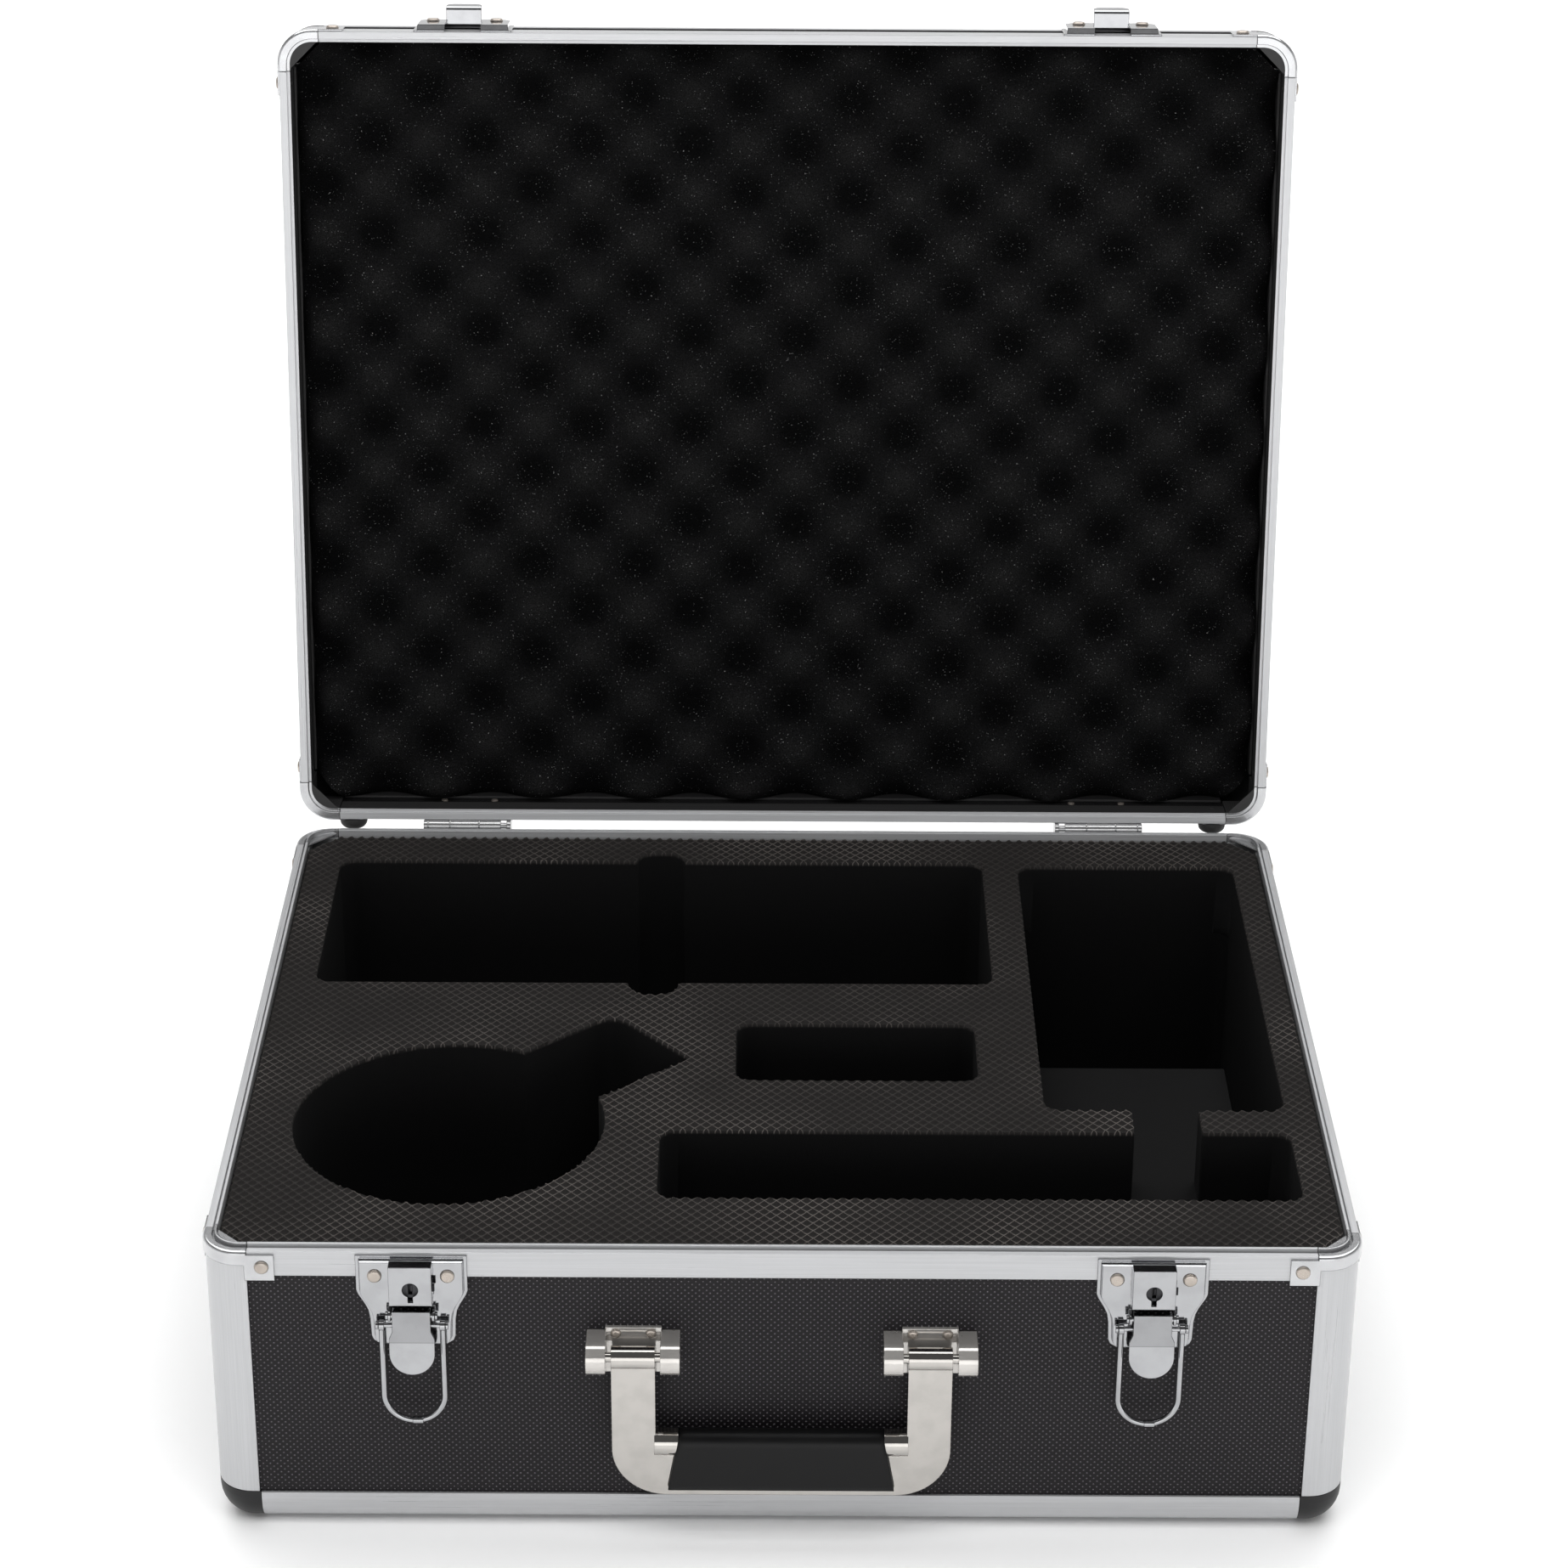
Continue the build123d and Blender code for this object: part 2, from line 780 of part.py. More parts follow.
def hinge_leaf(side, way):
    """One hinge leaf. way is -1 for the base's leaf, below the axis, and 1 for the lid's."""
    centre = side * hinge_centre
    spans = hinge_spans(side)
    own = (spans[1], spans[3]) if way < 0 else (spans[2],)
    start = lid_gap / 2 + leaf_start
    wall = -hinge_offset
    arm = hinge_offset - knuckle_radius / 2
    arm_length = start + knuckle_wrap
    with BuildPart() as leaf:
        with BuildSketch(hinge_plane(centre - leaf_width / 2)):
            with Locations((wall + leaf_sheet / 2, way * (start + leaf_height) / 2)):
                Rectangle(leaf_sheet, leaf_height - start)
        extrude(amount=leaf_width)
        for low, high in own:
            with BuildSketch(hinge_plane(centre + low)):
                Circle(knuckle_radius)
                with Locations((wall + arm / 2, way * arm_length / 2)):
                    Rectangle(arm, arm_length)
            extrude(amount=high - low)
        for low, high in (spans[0], spans[4]):
            with BuildSketch(hinge_plane(centre + low)):
                with BuildLine():
                    Polyline(*hinge_cheek(way), close=True)
                make_face()
                if way < 0:
                    Circle(knuckle_radius)
                else:
                    Circle(knuckle_radius + cheek_room, mode=Mode.SUBTRACT)
            extrude(amount=high - low)
        with BuildSketch(hinge_plane(centre - leaf_width / 2)):
            Circle(hinge_pin / 2 + (fixed_gap if way < 0 else run_gap))
        extrude(amount=leaf_width, mode=Mode.SUBTRACT)
        with BuildSketch(Plane(origin=(centre, hinge_y + wall, hinge_z), x_dir=(-1, 0, 0),
                               z_dir=(0, 1, 0))):
            down = way * (hinge_rivet_down + lid_gap / 2)
            with Locations((-hinge_rivet_apart / 2, down), (hinge_rivet_apart / 2, down)):
                Circle(plug_hole / 2)
        extrude(amount=leaf_sheet, mode=Mode.SUBTRACT)
    return leaf.part


def hinge_pins():
    """The two hinge pins, fixed in the base leaves."""
    pieces = []
    for side in (-1, 1):
        with BuildPart() as pin:
            with BuildSketch(hinge_plane(side * hinge_centre - leaf_width / 2)):
                Circle(hinge_pin / 2)
            extrude(amount=leaf_width)
        pieces.append(pin.part)
    return pieces


def foot(place, stand, stub_length):
    """Rubber foot with a rounded face, seated at a stand-off, and its stub."""
    x, y = place
    wall = wall_plane(2, -stand)
    seat = Plane(origin=wall.from_local_coords((x, y, 0)), x_dir=tuple(wall.x_dir),
                 z_dir=tuple(wall.z_dir))
    with BuildPart() as body:
        with BuildSketch(seat):
            Circle(foot_diameter / 2)
        extrude(amount=foot_height - stand)
        tip = body.edges().filter_by(GeomType.CIRCLE).sort_by(Axis.Y)[-1:]
        fillet(tip, radius=foot_round)
        with BuildSketch(seat):
            Circle(foot_stub / 2)
        extrude(amount=-stub_length)
    return body.part


def feet_holes(panel, places):
    """Cut the feet's stub holes in a back panel."""
    with BuildPart() as holed:
        add(panel)
        with BuildSketch(wall_plane(2, panel_inset + panel_thickness)):
            with Locations(*places):
                Circle(foot_stub / 2 + fixed_gap)
        extrude(amount=panel_thickness, mode=Mode.SUBTRACT)
    return holed.part


def plate_outline(inset):
    """Outline of a latch plate, inset from its border, from the rim down."""
    top = -plate_top_down - inset
    half = plate_half - inset
    low = -plate_bends[-1][1] + inset
    for way in (1, -1):
        side = [(way * half, top)]
        side += [(way * (half - within), -down) for within, down in plate_bends[:-1]]
        side.append((way * (half - plate_bends[-1][0]), low))
        Polyline((0, top), *side, (0, low))


def latch_front(x, depth):
    """Plane on the front wall at a latch, facing out, with its origin at the rim's height."""
    origin = (x, -case_depth / 2 + depth, base_height)
    return Plane(origin=origin, x_dir=(1, 0, 0), z_dir=(0, -1, 0))


def across_latch(x):
    """Plane across a latch at x: x axis out from the wall, y axis up, from the rim."""
    return Plane(origin=(x, -case_depth / 2, base_height), x_dir=(0, -1, 0), z_dir=(-1, 0, 0))


def latch_plate(x):
    """Stamped latch plate with a lip round it, a window for the lever and two pin ears."""
    with BuildPart() as plate:
        with BuildSketch(latch_front(x, 0)):
            with BuildLine():
                plate_outline(0)
            make_face()
        extrude(amount=plate_lip)
        with BuildSketch(latch_front(x, 0)):
            with BuildLine():
                plate_outline(plate_border / 2)
            make_face()
        extrude(amount=plate_stand, taper=10)
        with BuildSketch(latch_front(x, 0)):
            with BuildLine():
                plate_outline(plate_border / 2 + plate_sheet)
            make_face()
        extrude(amount=plate_stand - plate_sheet, taper=10, mode=Mode.SUBTRACT)
        with BuildSketch(latch_front(x, 0)):
            with Locations((0, -pivot_down + (window_above - window_below) / 2)):
                Rectangle(2 * window_half, window_above + window_below)
        extrude(amount=plate_stand, mode=Mode.SUBTRACT)
        for inner in (ear_in, -ear_in - ear_sheet):
            with BuildSketch(across_latch(x + inner + ear_sheet)):
                with Locations((pivot_stand, -pivot_down)):
                    Circle(ear_radius)
                with Locations(((plate_stand - plate_sheet + pivot_stand) / 2, -pivot_down)):
                    Rectangle(pivot_stand - plate_stand + plate_sheet, 2 * ear_radius)
                with Locations((pivot_stand, -pivot_down)):
                    Circle(pivot_pin / 2 + fixed_gap, mode=Mode.SUBTRACT)
            extrude(amount=ear_sheet)
        with BuildSketch(latch_front(x, 0)):
            with Locations((-latch_rivet_half, -latch_rivet_down),
                           (latch_rivet_half, -latch_rivet_down)):
                Circle(plug_hole / 2)
            with Locations((0, -keyhole_down)):
                Circle(plug_journal / 2 + run_gap)
        extrude(amount=plate_stand, mode=Mode.SUBTRACT)
    return plate.part


def lock_box(x):
    """Folded lock cover with the keyhole and a side slot for the cam."""
    middle = -box_top_down - box_height / 2
    cam_middle = plate_stand + cam_from_plate + cam_sheet / 2
    with BuildPart() as cover:
        with BuildSketch(latch_front(x, -plate_stand)):
            with Locations((0, middle)):
                Rectangle(2 * box_half, box_height)
        extrude(amount=box_stand)
        fillet(cover.edges().filter_by(Axis.X).sort_by(Axis.Y)[:1], radius=box_round)
        with BuildSketch(latch_front(x, -plate_stand)):
            with Locations((0, middle - box_sheet)):
                Rectangle(2 * (box_half - box_sheet), box_height)
        extrude(amount=box_stand - box_sheet, mode=Mode.SUBTRACT)
        with BuildSketch(latch_front(x, -plate_stand)):
            with Locations((0, -keyhole_down)):
                Circle(keyhole_diameter / 2)
            with Locations((0, -keyhole_down - keyhole_slot_reach / 2)):
                Rectangle(keyhole_slot, keyhole_slot_reach)
        extrude(amount=box_stand, mode=Mode.SUBTRACT)
        with BuildSketch(across_latch(x + box_half)):
            high = -keyhole_down + cam_width / 2 + cam_room
            low = -box_top_down - box_height
            with Locations((cam_middle, (high + low) / 2)):
                Rectangle(cam_sheet + 2 * cam_room, high - low)
        extrude(amount=box_sheet, mode=Mode.SUBTRACT)
    return cover.part


def lock_plug(x):
    """Lock plug with its key slot and the cam that stops the lever."""
    inside = box_stand - box_sheet - 2 * seat_gap
    with BuildPart() as plug:
        with BuildSketch(latch_front(x, -plate_stand - seat_gap)):
            with Locations((0, -keyhole_down)):
                Circle(plug_diameter / 2)
        extrude(amount=inside)
        with BuildSketch(latch_front(x, -plate_stand - seat_gap - inside + key_slot_depth)):
            with Locations((0, -keyhole_down)):
                Rectangle(key_slot, key_slot_reach)
        extrude(amount=key_slot_depth, mode=Mode.SUBTRACT)
        with BuildSketch(latch_front(x, -plate_stand - cam_from_plate)):
            with Locations((cam_reach / 2, -keyhole_down)):
                Rectangle(cam_reach, cam_width)
        extrude(amount=cam_sheet)
        with BuildSketch(latch_front(x, -plate_stand + plate_sheet)):
            with Locations((0, -keyhole_down)):
                Circle(plug_journal / 2)
        extrude(amount=plate_sheet + seat_gap)
    return plug.part


def lever(x):
    """Latch lever: a curved tongue with two side flanges on the pivot pin."""
    face_out = pivot_stand + lever_face + lever_sheet
    top = -pivot_down + lever_above
    kick = sin(radians(lever_kick)) * (lever_tip_down - lever_crease_down)
    crease = -pivot_down - lever_crease_down
    tip = -pivot_down - lever_tip_down
    with BuildPart() as tongue:
        with BuildSketch(across_latch(x + lever_wide_half)):
            with BuildLine():
                Polyline(
                    (face_out - lever_sheet, top),
                    (face_out, top),
                    (face_out, crease),
                    (face_out + kick, tip),
                    (face_out + kick - lever_sheet, tip),
                    (face_out - lever_sheet, crease),
                    close=True,
                )
            make_face()
        extrude(amount=2 * lever_wide_half)
        with BuildSketch(latch_front(x, 0)) as outline:
            with BuildLine():
                shoulder = -pivot_down - lever_shoulder_down
                wide = -pivot_down - lever_wide_down
                round_start = tip + lever_wide_half
                Line((-lever_half, top), (lever_half, top))
                Line((lever_half, top), (lever_half, shoulder))
                Line((lever_half, shoulder), (lever_wide_half, wide))
                Line((lever_wide_half, wide), (lever_wide_half, round_start))
                ThreePointArc((lever_wide_half, round_start), (0, tip),
                              (-lever_wide_half, round_start))
                Line((-lever_wide_half, round_start), (-lever_wide_half, wide))
                Line((-lever_wide_half, wide), (-lever_half, shoulder))
                Line((-lever_half, shoulder), (-lever_half, top))
            make_face()
        extrude(amount=face_out + kick + 1, mode=Mode.INTERSECT)
        for inner in (lever_half, -lever_half + lever_flange):
            with BuildSketch(across_latch(x + inner)):
                high = top - lever_flange_start
                low = -pivot_down - lever_flange_down
                with BuildLine():
                    Polyline(
                        (face_out - lever_sheet / 2, high),
                        (pivot_stand - lever_back, high),
                        (pivot_stand - lever_back, -pivot_down - bail_pin_down - lever_flange_edge),
                        (face_out - lever_sheet / 2, low),
                        close=True,
                    )
                make_face()
                with Locations((pivot_stand, -pivot_down)):
                    Circle(pivot_pin / 2 + run_gap, mode=Mode.SUBTRACT)
                with Locations((pivot_stand - bail_pin_in, -pivot_down - bail_pin_down)):
                    Circle(bail_pin / 2 + run_gap, mode=Mode.SUBTRACT)
            extrude(amount=lever_flange)
    return tongue.part


def headed_pin(x, out, down, diameter, half, head, head_length):
    """Pin across a latch with a head at each end."""
    with BuildPart() as pin:
        with BuildSketch(across_latch(x + half)):
            with Locations((out, -down)):
                Circle(diameter / 2)
        extrude(amount=2 * half)
        for start in (x + half, x - half + head_length):
            with BuildSketch(across_latch(start)):
                with Locations((out, -down)):
                    Circle(head / 2)
            extrude(amount=head_length)
    return pin.part


def pivot_pin_piece(x):
    """Lever pivot pin, fixed in the plate's ears."""
    half = ear_in + ear_sheet + seat_gap + pivot_head_length
    return headed_pin(x, pivot_stand, pivot_down, pivot_pin, half, pivot_head, pivot_head_length)


def bail_pin_piece(x):
    """Pin of the bail, through the lever's flanges and the bail's eyes."""
    half = bail_half + bail_wire / 2 + seat_gap + pivot_head_length
    out = pivot_stand - bail_pin_in
    down = pivot_down + bail_pin_down
    return headed_pin(x, out, down, bail_pin, half, pivot_head, pivot_head_length)


def bail(x):
    """Wire bail: two legs with eyes and a round end with its butt joint."""
    out = pivot_stand - bail_pin_in
    down = pivot_down + bail_pin_down
    plane = latch_front(x, -out)
    straight = -down - bail_length + bail_half
    start = -down - bail_eye / 2 + bail_wire / 4
    with BuildPart() as wire:
        with BuildLine(plane) as path:
            Line((-bail_half, start), (-bail_half, straight))
            ThreePointArc((-bail_half, straight), (0, straight - bail_half), (bail_half, straight))
            Line((bail_half, straight), (bail_half, start))
        with BuildSketch(Plane(origin=path.line @ 0, z_dir=path.line % 0)):
            Circle(bail_wire / 2)
        sweep(path=path.line)
        for middle in (-bail_half, bail_half):
            with BuildSketch(across_latch(x + middle + bail_eye_width / 2)):
                with Locations((out, -down)):
                    Circle(bail_eye / 2)
            extrude(amount=bail_eye_width)
        with BuildSketch(across_latch(x + bail_half + bail_wire)):
            with Locations((out, -down)):
                Circle(bail_pin / 2 + run_gap)
        extrude(amount=2 * (bail_half + bail_wire), mode=Mode.SUBTRACT)
        with BuildSketch(across_latch(x + bail_joint_aside + bail_joint_length / 2)):
            with Locations((out, -down - bail_length)):
                Circle(bail_joint_diameter / 2)
        extrude(amount=bail_joint_length)
    return wire.part


def catch_plane(x, depth):
    """Plane on the lid's latch wall at a catch, facing out, in the lid's own tray."""
    origin = (x, -case_depth / 2 + depth, lid_height)
    return Plane(origin=origin, x_dir=(1, 0, 0), z_dir=(0, -1, 0))


def catch_outline(inset):
    """Outline of a catch plate, inset from its border, from the lid's rim down."""
    top = -catch_start - inset
    half = plate_half - inset
    low = -catch_start - catch_height + inset
    for way in (1, -1):
        Line((0, top), (way * half, top))
        Line((way * half, top), (way * half, low + catch_taper))
        Line((way * half, low + catch_taper), (way * (half - catch_taper), low))
        Line((way * (half - catch_taper), low), (0, low))


def catch(x):
    """Catch on the lid: stamped plate with a folded hook for the bail."""
    with BuildPart() as plate:
        with BuildSketch(catch_plane(x, 0)):
            with BuildLine():
                catch_outline(0)
            make_face()
        extrude(amount=plate_lip)
        with BuildSketch(catch_plane(x, 0)):
            with BuildLine():
                catch_outline(plate_border / 2)
            make_face()
        extrude(amount=plate_stand, taper=10)
        with BuildSketch(catch_plane(x, 0)):
            with BuildLine():
                catch_outline(plate_border / 2 + plate_sheet)
            make_face()
        extrude(amount=plate_stand - plate_sheet, taper=10, mode=Mode.SUBTRACT)
        with BuildSketch(catch_plane(x, 0)):
            with Locations((0, (hook_sheet - hook_root_up) / 2)):
                Rectangle(2 * (hook_half + seat_gap), hook_root_up - hook_sheet)
            with Locations((-latch_rivet_half, -catch_rivet_up),
                           (latch_rivet_half, -catch_rivet_up)):
                Circle(plug_hole / 2)
        extrude(amount=plate_stand, mode=Mode.SUBTRACT)
        side = Plane(origin=(x + hook_half, -case_depth / 2, lid_height),
                     x_dir=(0, -1, 0), z_dir=(-1, 0, 0))
        with BuildSketch(side):
            with BuildLine():
                Polyline(
                    (plate_stand - plate_sheet, -hook_root_up),
                    (plate_stand - plate_sheet, -hook_root_up + hook_sheet),
                    (hook_inside + hook_sheet, -hook_root_up + hook_sheet),
                    (hook_inside + hook_sheet + hook_lean, -hook_tip_up),
                    (hook_inside + hook_lean, -hook_tip_up),
                    (hook_inside, -hook_root_up),
                    close=True,
                )
            make_face()
        extrude(amount=2 * hook_half)
        bend = Vector(x, -case_depth / 2 - hook_inside - hook_sheet,
                      lid_height - hook_root_up + hook_sheet)
        across = plate.edges().filter_by(Axis.X)
        fillet(across.sort_by(lambda edge: (edge.center() - bend).length)[:1], radius=hook_bend)
        tips = plate.edges().filter_by(Axis.Y).filter_by(
            lambda edge: abs(edge.center().Z - lid_height + hook_tip_up) < hook_room)
        fillet(tips, radius=hook_corner)
    return plate.part


def handle_bracket(x):
    """Handle bracket: back plate with two round lugs for the pin."""
    face = -case_depth / 2 + panel_inset
    out = handle_pivot_out + panel_inset
    with BuildPart() as bracket:
        with BuildSketch(Plane(origin=(x, face, 0), x_dir=(1, 0, 0), z_dir=(0, -1, 0))):
            with Locations((0, (handle_tab_up + handle_tab_down) / 2)):
                Rectangle(2 * handle_tab_half, handle_tab_up - handle_tab_down)
            with Locations((0, handle_pivot_up)):
                Rectangle(2 * (lug_in + lug_width), 2 * lug_radius)
            with Locations((-handle_rivet_half, handle_rivet_up),
                           (handle_rivet_half, handle_rivet_up)):
                Circle(small_hole / 2, mode=Mode.SUBTRACT)
        extrude(amount=handle_plate)
        for start in (x + lug_in + lug_width, x - lug_in):
            across = Plane(origin=(start, face, handle_pivot_up), x_dir=(0, -1, 0),
                           z_dir=(-1, 0, 0))
            with BuildSketch(across):
                with Locations((out, 0)):
                    Circle(lug_radius)
                with Locations((out / 2, 0)):
                    Rectangle(out, 2 * lug_radius)
                with Locations((out, 0)):
                    Circle(handle_pin / 2 + fixed_gap, mode=Mode.SUBTRACT)
            extrude(amount=lug_width)
    return bracket.part


def handle_plane():
    """Plane of the hanging handle frame, facing out, from the pivot axis."""
    origin = (0, -case_depth / 2 - handle_pivot_out, handle_pivot_up)
    return Plane(origin=origin, x_dir=(1, 0, 0), z_dir=(0, -1, 0))


def handle_across(x):
    """Plane across the handle at x: x axis out, y axis up, from the pivot axis."""
    origin = (x, -case_depth / 2 - handle_pivot_out, handle_pivot_up)
    return Plane(origin=origin, x_dir=(0, -1, 0), z_dir=(-1, 0, 0))


def handle_frame():
    """Handle frame: flat bow with rounded corners, barrels on the pins and two collars."""
    half = bracket_centre + arm_width / 2
    inner = bracket_centre - arm_width / 2
    shoulder = -frame_drop + frame_shoulder
    strip = -frame_drop + frame_strip
    room = seat_gap
    slope = (grip_bottom_half - grip_top_half) / (grip_top_up - frame_strip)
    shoulder_half = grip_bottom_half - slope * (frame_shoulder - frame_strip) + room
    with BuildPart() as bow:
        with BuildSketch(handle_plane().offset(-arm_thickness / 2)):
            with BuildLine():
                for way in (1, -1):
                    Line((way * inner, 0), (way * half, 0))
                    Line((way * half, 0), (way * half, -frame_drop + frame_round))
                    RadiusArc((way * half, -frame_drop + frame_round),
                              (way * (half - frame_round), -frame_drop), way * frame_round)
                    Line((way * (half - frame_round), -frame_drop), (0, -frame_drop))
                    Line((way * inner, 0), (way * inner, shoulder + frame_inner_round))
                    RadiusArc((way * inner, shoulder + frame_inner_round),
                              (way * (inner - frame_inner_round), shoulder),
                              way * frame_inner_round)
                    Line((way * (inner - frame_inner_round), shoulder),
                         (way * shoulder_half, shoulder))
                    Line((way * shoulder_half, shoulder), (way * (grip_bottom_half + room), strip))
                    Line((way * (grip_bottom_half + room), strip), (0, strip))
            make_face()
        extrude(amount=arm_thickness)
        for middle in (-bracket_centre, bracket_centre):
            with BuildSketch(handle_across(middle + arm_width / 2)):
                Circle(barrel_radius)
            extrude(amount=arm_width)
        near = shoulder_half - collar_in
        far = inner + collar_out
        for end in (-near, far):
            with BuildSketch(handle_across(end)):
                with Locations((0, -frame_drop + collar_up)):
                    Circle(collar_diameter / 2)
            extrude(amount=far - near)
        with BuildSketch(handle_across(half)):
            Circle(handle_pin / 2 + run_gap)
        extrude(amount=2 * half, mode=Mode.SUBTRACT)
    return bow.part


def handle_grip():
    """Moulded grip that fills the bow, with a round top."""
    strip = -frame_drop + frame_strip + seat_gap
    top = -frame_drop + grip_top_up
    slope = (grip_bottom_half - grip_top_half) / (grip_top_up - frame_strip)
    with BuildPart() as grip:
        with BuildSketch(handle_across(grip_bottom_half)):
            with BuildLine():
                half = grip_depth / 2
                Line((-half, strip), (half, strip))
                Line((half, strip), (half, top - grip_round))
                ThreePointArc((half, top - grip_round), (0, top), (-half, top - grip_round))
                Line((-half, top - grip_round), (-half, strip))
            make_face()
        extrude(amount=2 * grip_bottom_half)
        with BuildSketch(handle_plane().offset(-grip_depth)):
            with BuildLine():
                Polyline(
                    (-grip_bottom_half, strip),
                    (grip_bottom_half, strip),
                    (grip_top_half, top),
                    (-grip_top_half, top),
                    close=True,
                )
            make_face()
        extrude(amount=2 * grip_depth, mode=Mode.INTERSECT)
        room = collar_diameter / 2 + seat_gap
        at_collar = grip_bottom_half - slope * (frame_shoulder - frame_strip)
        near = at_collar - collar_in - seat_gap
        for end in (-near, grip_bottom_half):
            with BuildSketch(handle_across(end)):
                with Locations((0, -frame_drop + collar_up)):
                    Circle(room)
            extrude(amount=grip_bottom_half - near, mode=Mode.SUBTRACT)
    return grip.part


def handle_pins():
    """The two handle pins, fixed in the bracket lugs."""
    half = lug_in + lug_width - handle_pin_short
    pieces = []
    for side in (-1, 1):
        with BuildPart() as pin:
            with BuildSketch(handle_across(side * bracket_centre + half)):
                Circle(handle_pin / 2)
            extrude(amount=2 * half)
        pieces.append(pin.part)
    return pieces


def lid_view(places):
    """Places on a wall of the lid's own tray as they stand: its sides change over."""
    return [(-x, y) for x, y in places]


# base tray
front_rivets = latch_rivet_places(base_height)
back_rivets = hinge_rivet_places(base_height)
save("base_front_panel", wall_panel(0, base_height, front_rivets, handle_rivet_places()))
base_back = wall_panel(2, base_height, back_rivets)
base_foot_places = foot_places(base_foot_up, base_foot_in)
save("base_back_panel", feet_holes(base_back, base_foot_places))
base_sides = [wall_panel(1, base_height), wall_panel(3, base_height)]
save("base_side_panels", group("base_side_panels", base_sides))
save("base_floor_panel", flat_panel())
save("base_rim_front", rim_profile(0, base_height, True, front_rivets))
save("base_rim_back", rim_profile(2, base_height, True, back_rivets))
base_rim_sides = [rim_profile(1, base_height, True), rim_profile(3, base_height, True)]
save("base_rim_sides", group("base_rim_sides", base_rim_sides))
save("base_bottom_edges", group("base_bottom_edges", tray_edges()))
save("base_corner_posts", group("base_corner_posts", tray_posts(base_height)))
save("base_corner_caps", group("base_corner_caps", [corner_cap(k) for k in range(4)]))
base_brackets = [rim_bracket(k, base_height, True) for k in range(4)]
save("base_rim_corners", group("base_rim_corners", base_brackets))
save("base_rim_rivets", group("base_rim_rivets", ear_rivets(base_height)))
save("foam_insert", foam_insert())
save("foam_floor_pad", foam_pad())
base_feet = [foot(place, -panel_inset, panel_thickness) for place in base_foot_places]
save("base_feet", group("base_feet", base_feet))

# latches
for name, centre in (("left", -latch_centre), ("right", latch_centre)):
    save("latch_plate_" + name, latch_plate(centre))
    save("lock_box_" + name, lock_box(centre))
    save("lock_plug_" + name, lock_plug(centre))
    save("latch_lever_" + name, lever(centre))
    save("lever_pin_" + name, pivot_pin_piece(centre))
    save("bail_pin_" + name, bail_pin_piece(centre))
    save("latch_bail_" + name, bail(centre))
latch_grip = plate_stand + rim_thickness - rivet_short
latch_rivets = wall_rivets(0, front_rivets, plate_stand, latch_grip, rivet_shank, rivet_head)
save("latch_rivets", group("latch_rivets", latch_rivets))

# handle
save("handle_bracket_left", handle_bracket(-bracket_centre))
save("handle_bracket_right", handle_bracket(bracket_centre))
save("handle_frame", handle_frame())
save("handle_grip", handle_grip())
save("handle_pins", group("handle_pins", handle_pins()))
handle_grip_length = handle_plate + panel_thickness
handle_stand = handle_plate - panel_inset
handle_rivets = wall_rivets(0, handle_rivet_places(), handle_stand, handle_grip_length,
                            small_rivet_shank, small_rivet_head)
save("handle_rivets", group("handle_rivets", handle_rivets))

# hinges
open_turn = hinge_location()
for name, side in (("left", -1), ("right", 1)):
    save("hinge_base_leaf_" + name, hinge_leaf(side, -1))
    save("hinge_lid_leaf_" + name, hinge_leaf(side, 1).moved(open_turn))
save("hinge_pins", group("hinge_pins", hinge_pins()))
hinge_grip = leaf_sheet + rim_thickness - rivet_short
base_hinge_rivets = wall_rivets(2, back_rivets, leaf_sheet, hinge_grip, rivet_shank, rivet_head)
save("hinge_base_rivets", group("hinge_base_rivets", base_hinge_rivets))
lid_hinge_places = lid_view(hinge_rivet_places(lid_height))
lid_hinge_rivets = wall_rivets(2, lid_hinge_places, leaf_sheet, hinge_grip, rivet_shank,
                               rivet_head)
save("hinge_lid_rivets", on_lid(group("hinge_lid_rivets", lid_hinge_rivets)))

# lid tray
catch_rivets = catch_rivet_places()
save("lid_front_panel", on_lid(wall_panel(0, lid_height, catch_rivets)))
save("lid_back_panel", on_lid(wall_panel(2, lid_height, lid_hinge_places)))
lid_sides = [wall_panel(1, lid_height), wall_panel(3, lid_height)]
save("lid_side_panels", on_lid(group("lid_side_panels", lid_sides)))
save("lid_top_panel", on_lid(flat_panel()))
save("lid_rim_front", on_lid(rim_profile(0, lid_height, False)))
save("lid_rim_back", on_lid(rim_profile(2, lid_height, False)))
lid_rim_sides = [rim_profile(1, lid_height, False), rim_profile(3, lid_height, False)]
save("lid_rim_sides", on_lid(group("lid_rim_sides", lid_rim_sides)))
save("lid_top_edges", on_lid(group("lid_top_edges", tray_edges())))
save("lid_corner_posts", on_lid(group("lid_corner_posts", tray_posts(lid_height))))
save("lid_corner_caps", on_lid(group("lid_corner_caps", [corner_cap(k) for k in range(4)])))
lid_brackets = [rim_bracket(k, lid_height, False) for k in range(4)]
save("lid_rim_corners", on_lid(group("lid_rim_corners", lid_brackets)))
lid_ear_rivets = ear_rivets(lid_height, with_back=False)
save("lid_rim_rivets", on_lid(group("lid_rim_rivets", lid_ear_rivets)))
save("egg_crate_foam", on_lid(egg_crate_foam()))
save("catch_left", on_lid(catch(latch_centre)))
save("catch_right", on_lid(catch(-latch_centre)))
catch_grip = plate_stand + inner_face - rivet_short
lid_catch_rivets = wall_rivets(0, catch_rivets, plate_stand, catch_grip, rivet_shank, rivet_head)
save("catch_rivets", on_lid(group("catch_rivets", lid_catch_rivets)))
foot_grip = bracket_sheet + rim_thickness - rivet_short
lid_foot_places = foot_places(lid_height - ear_rivet_down, ear_rivet_in)
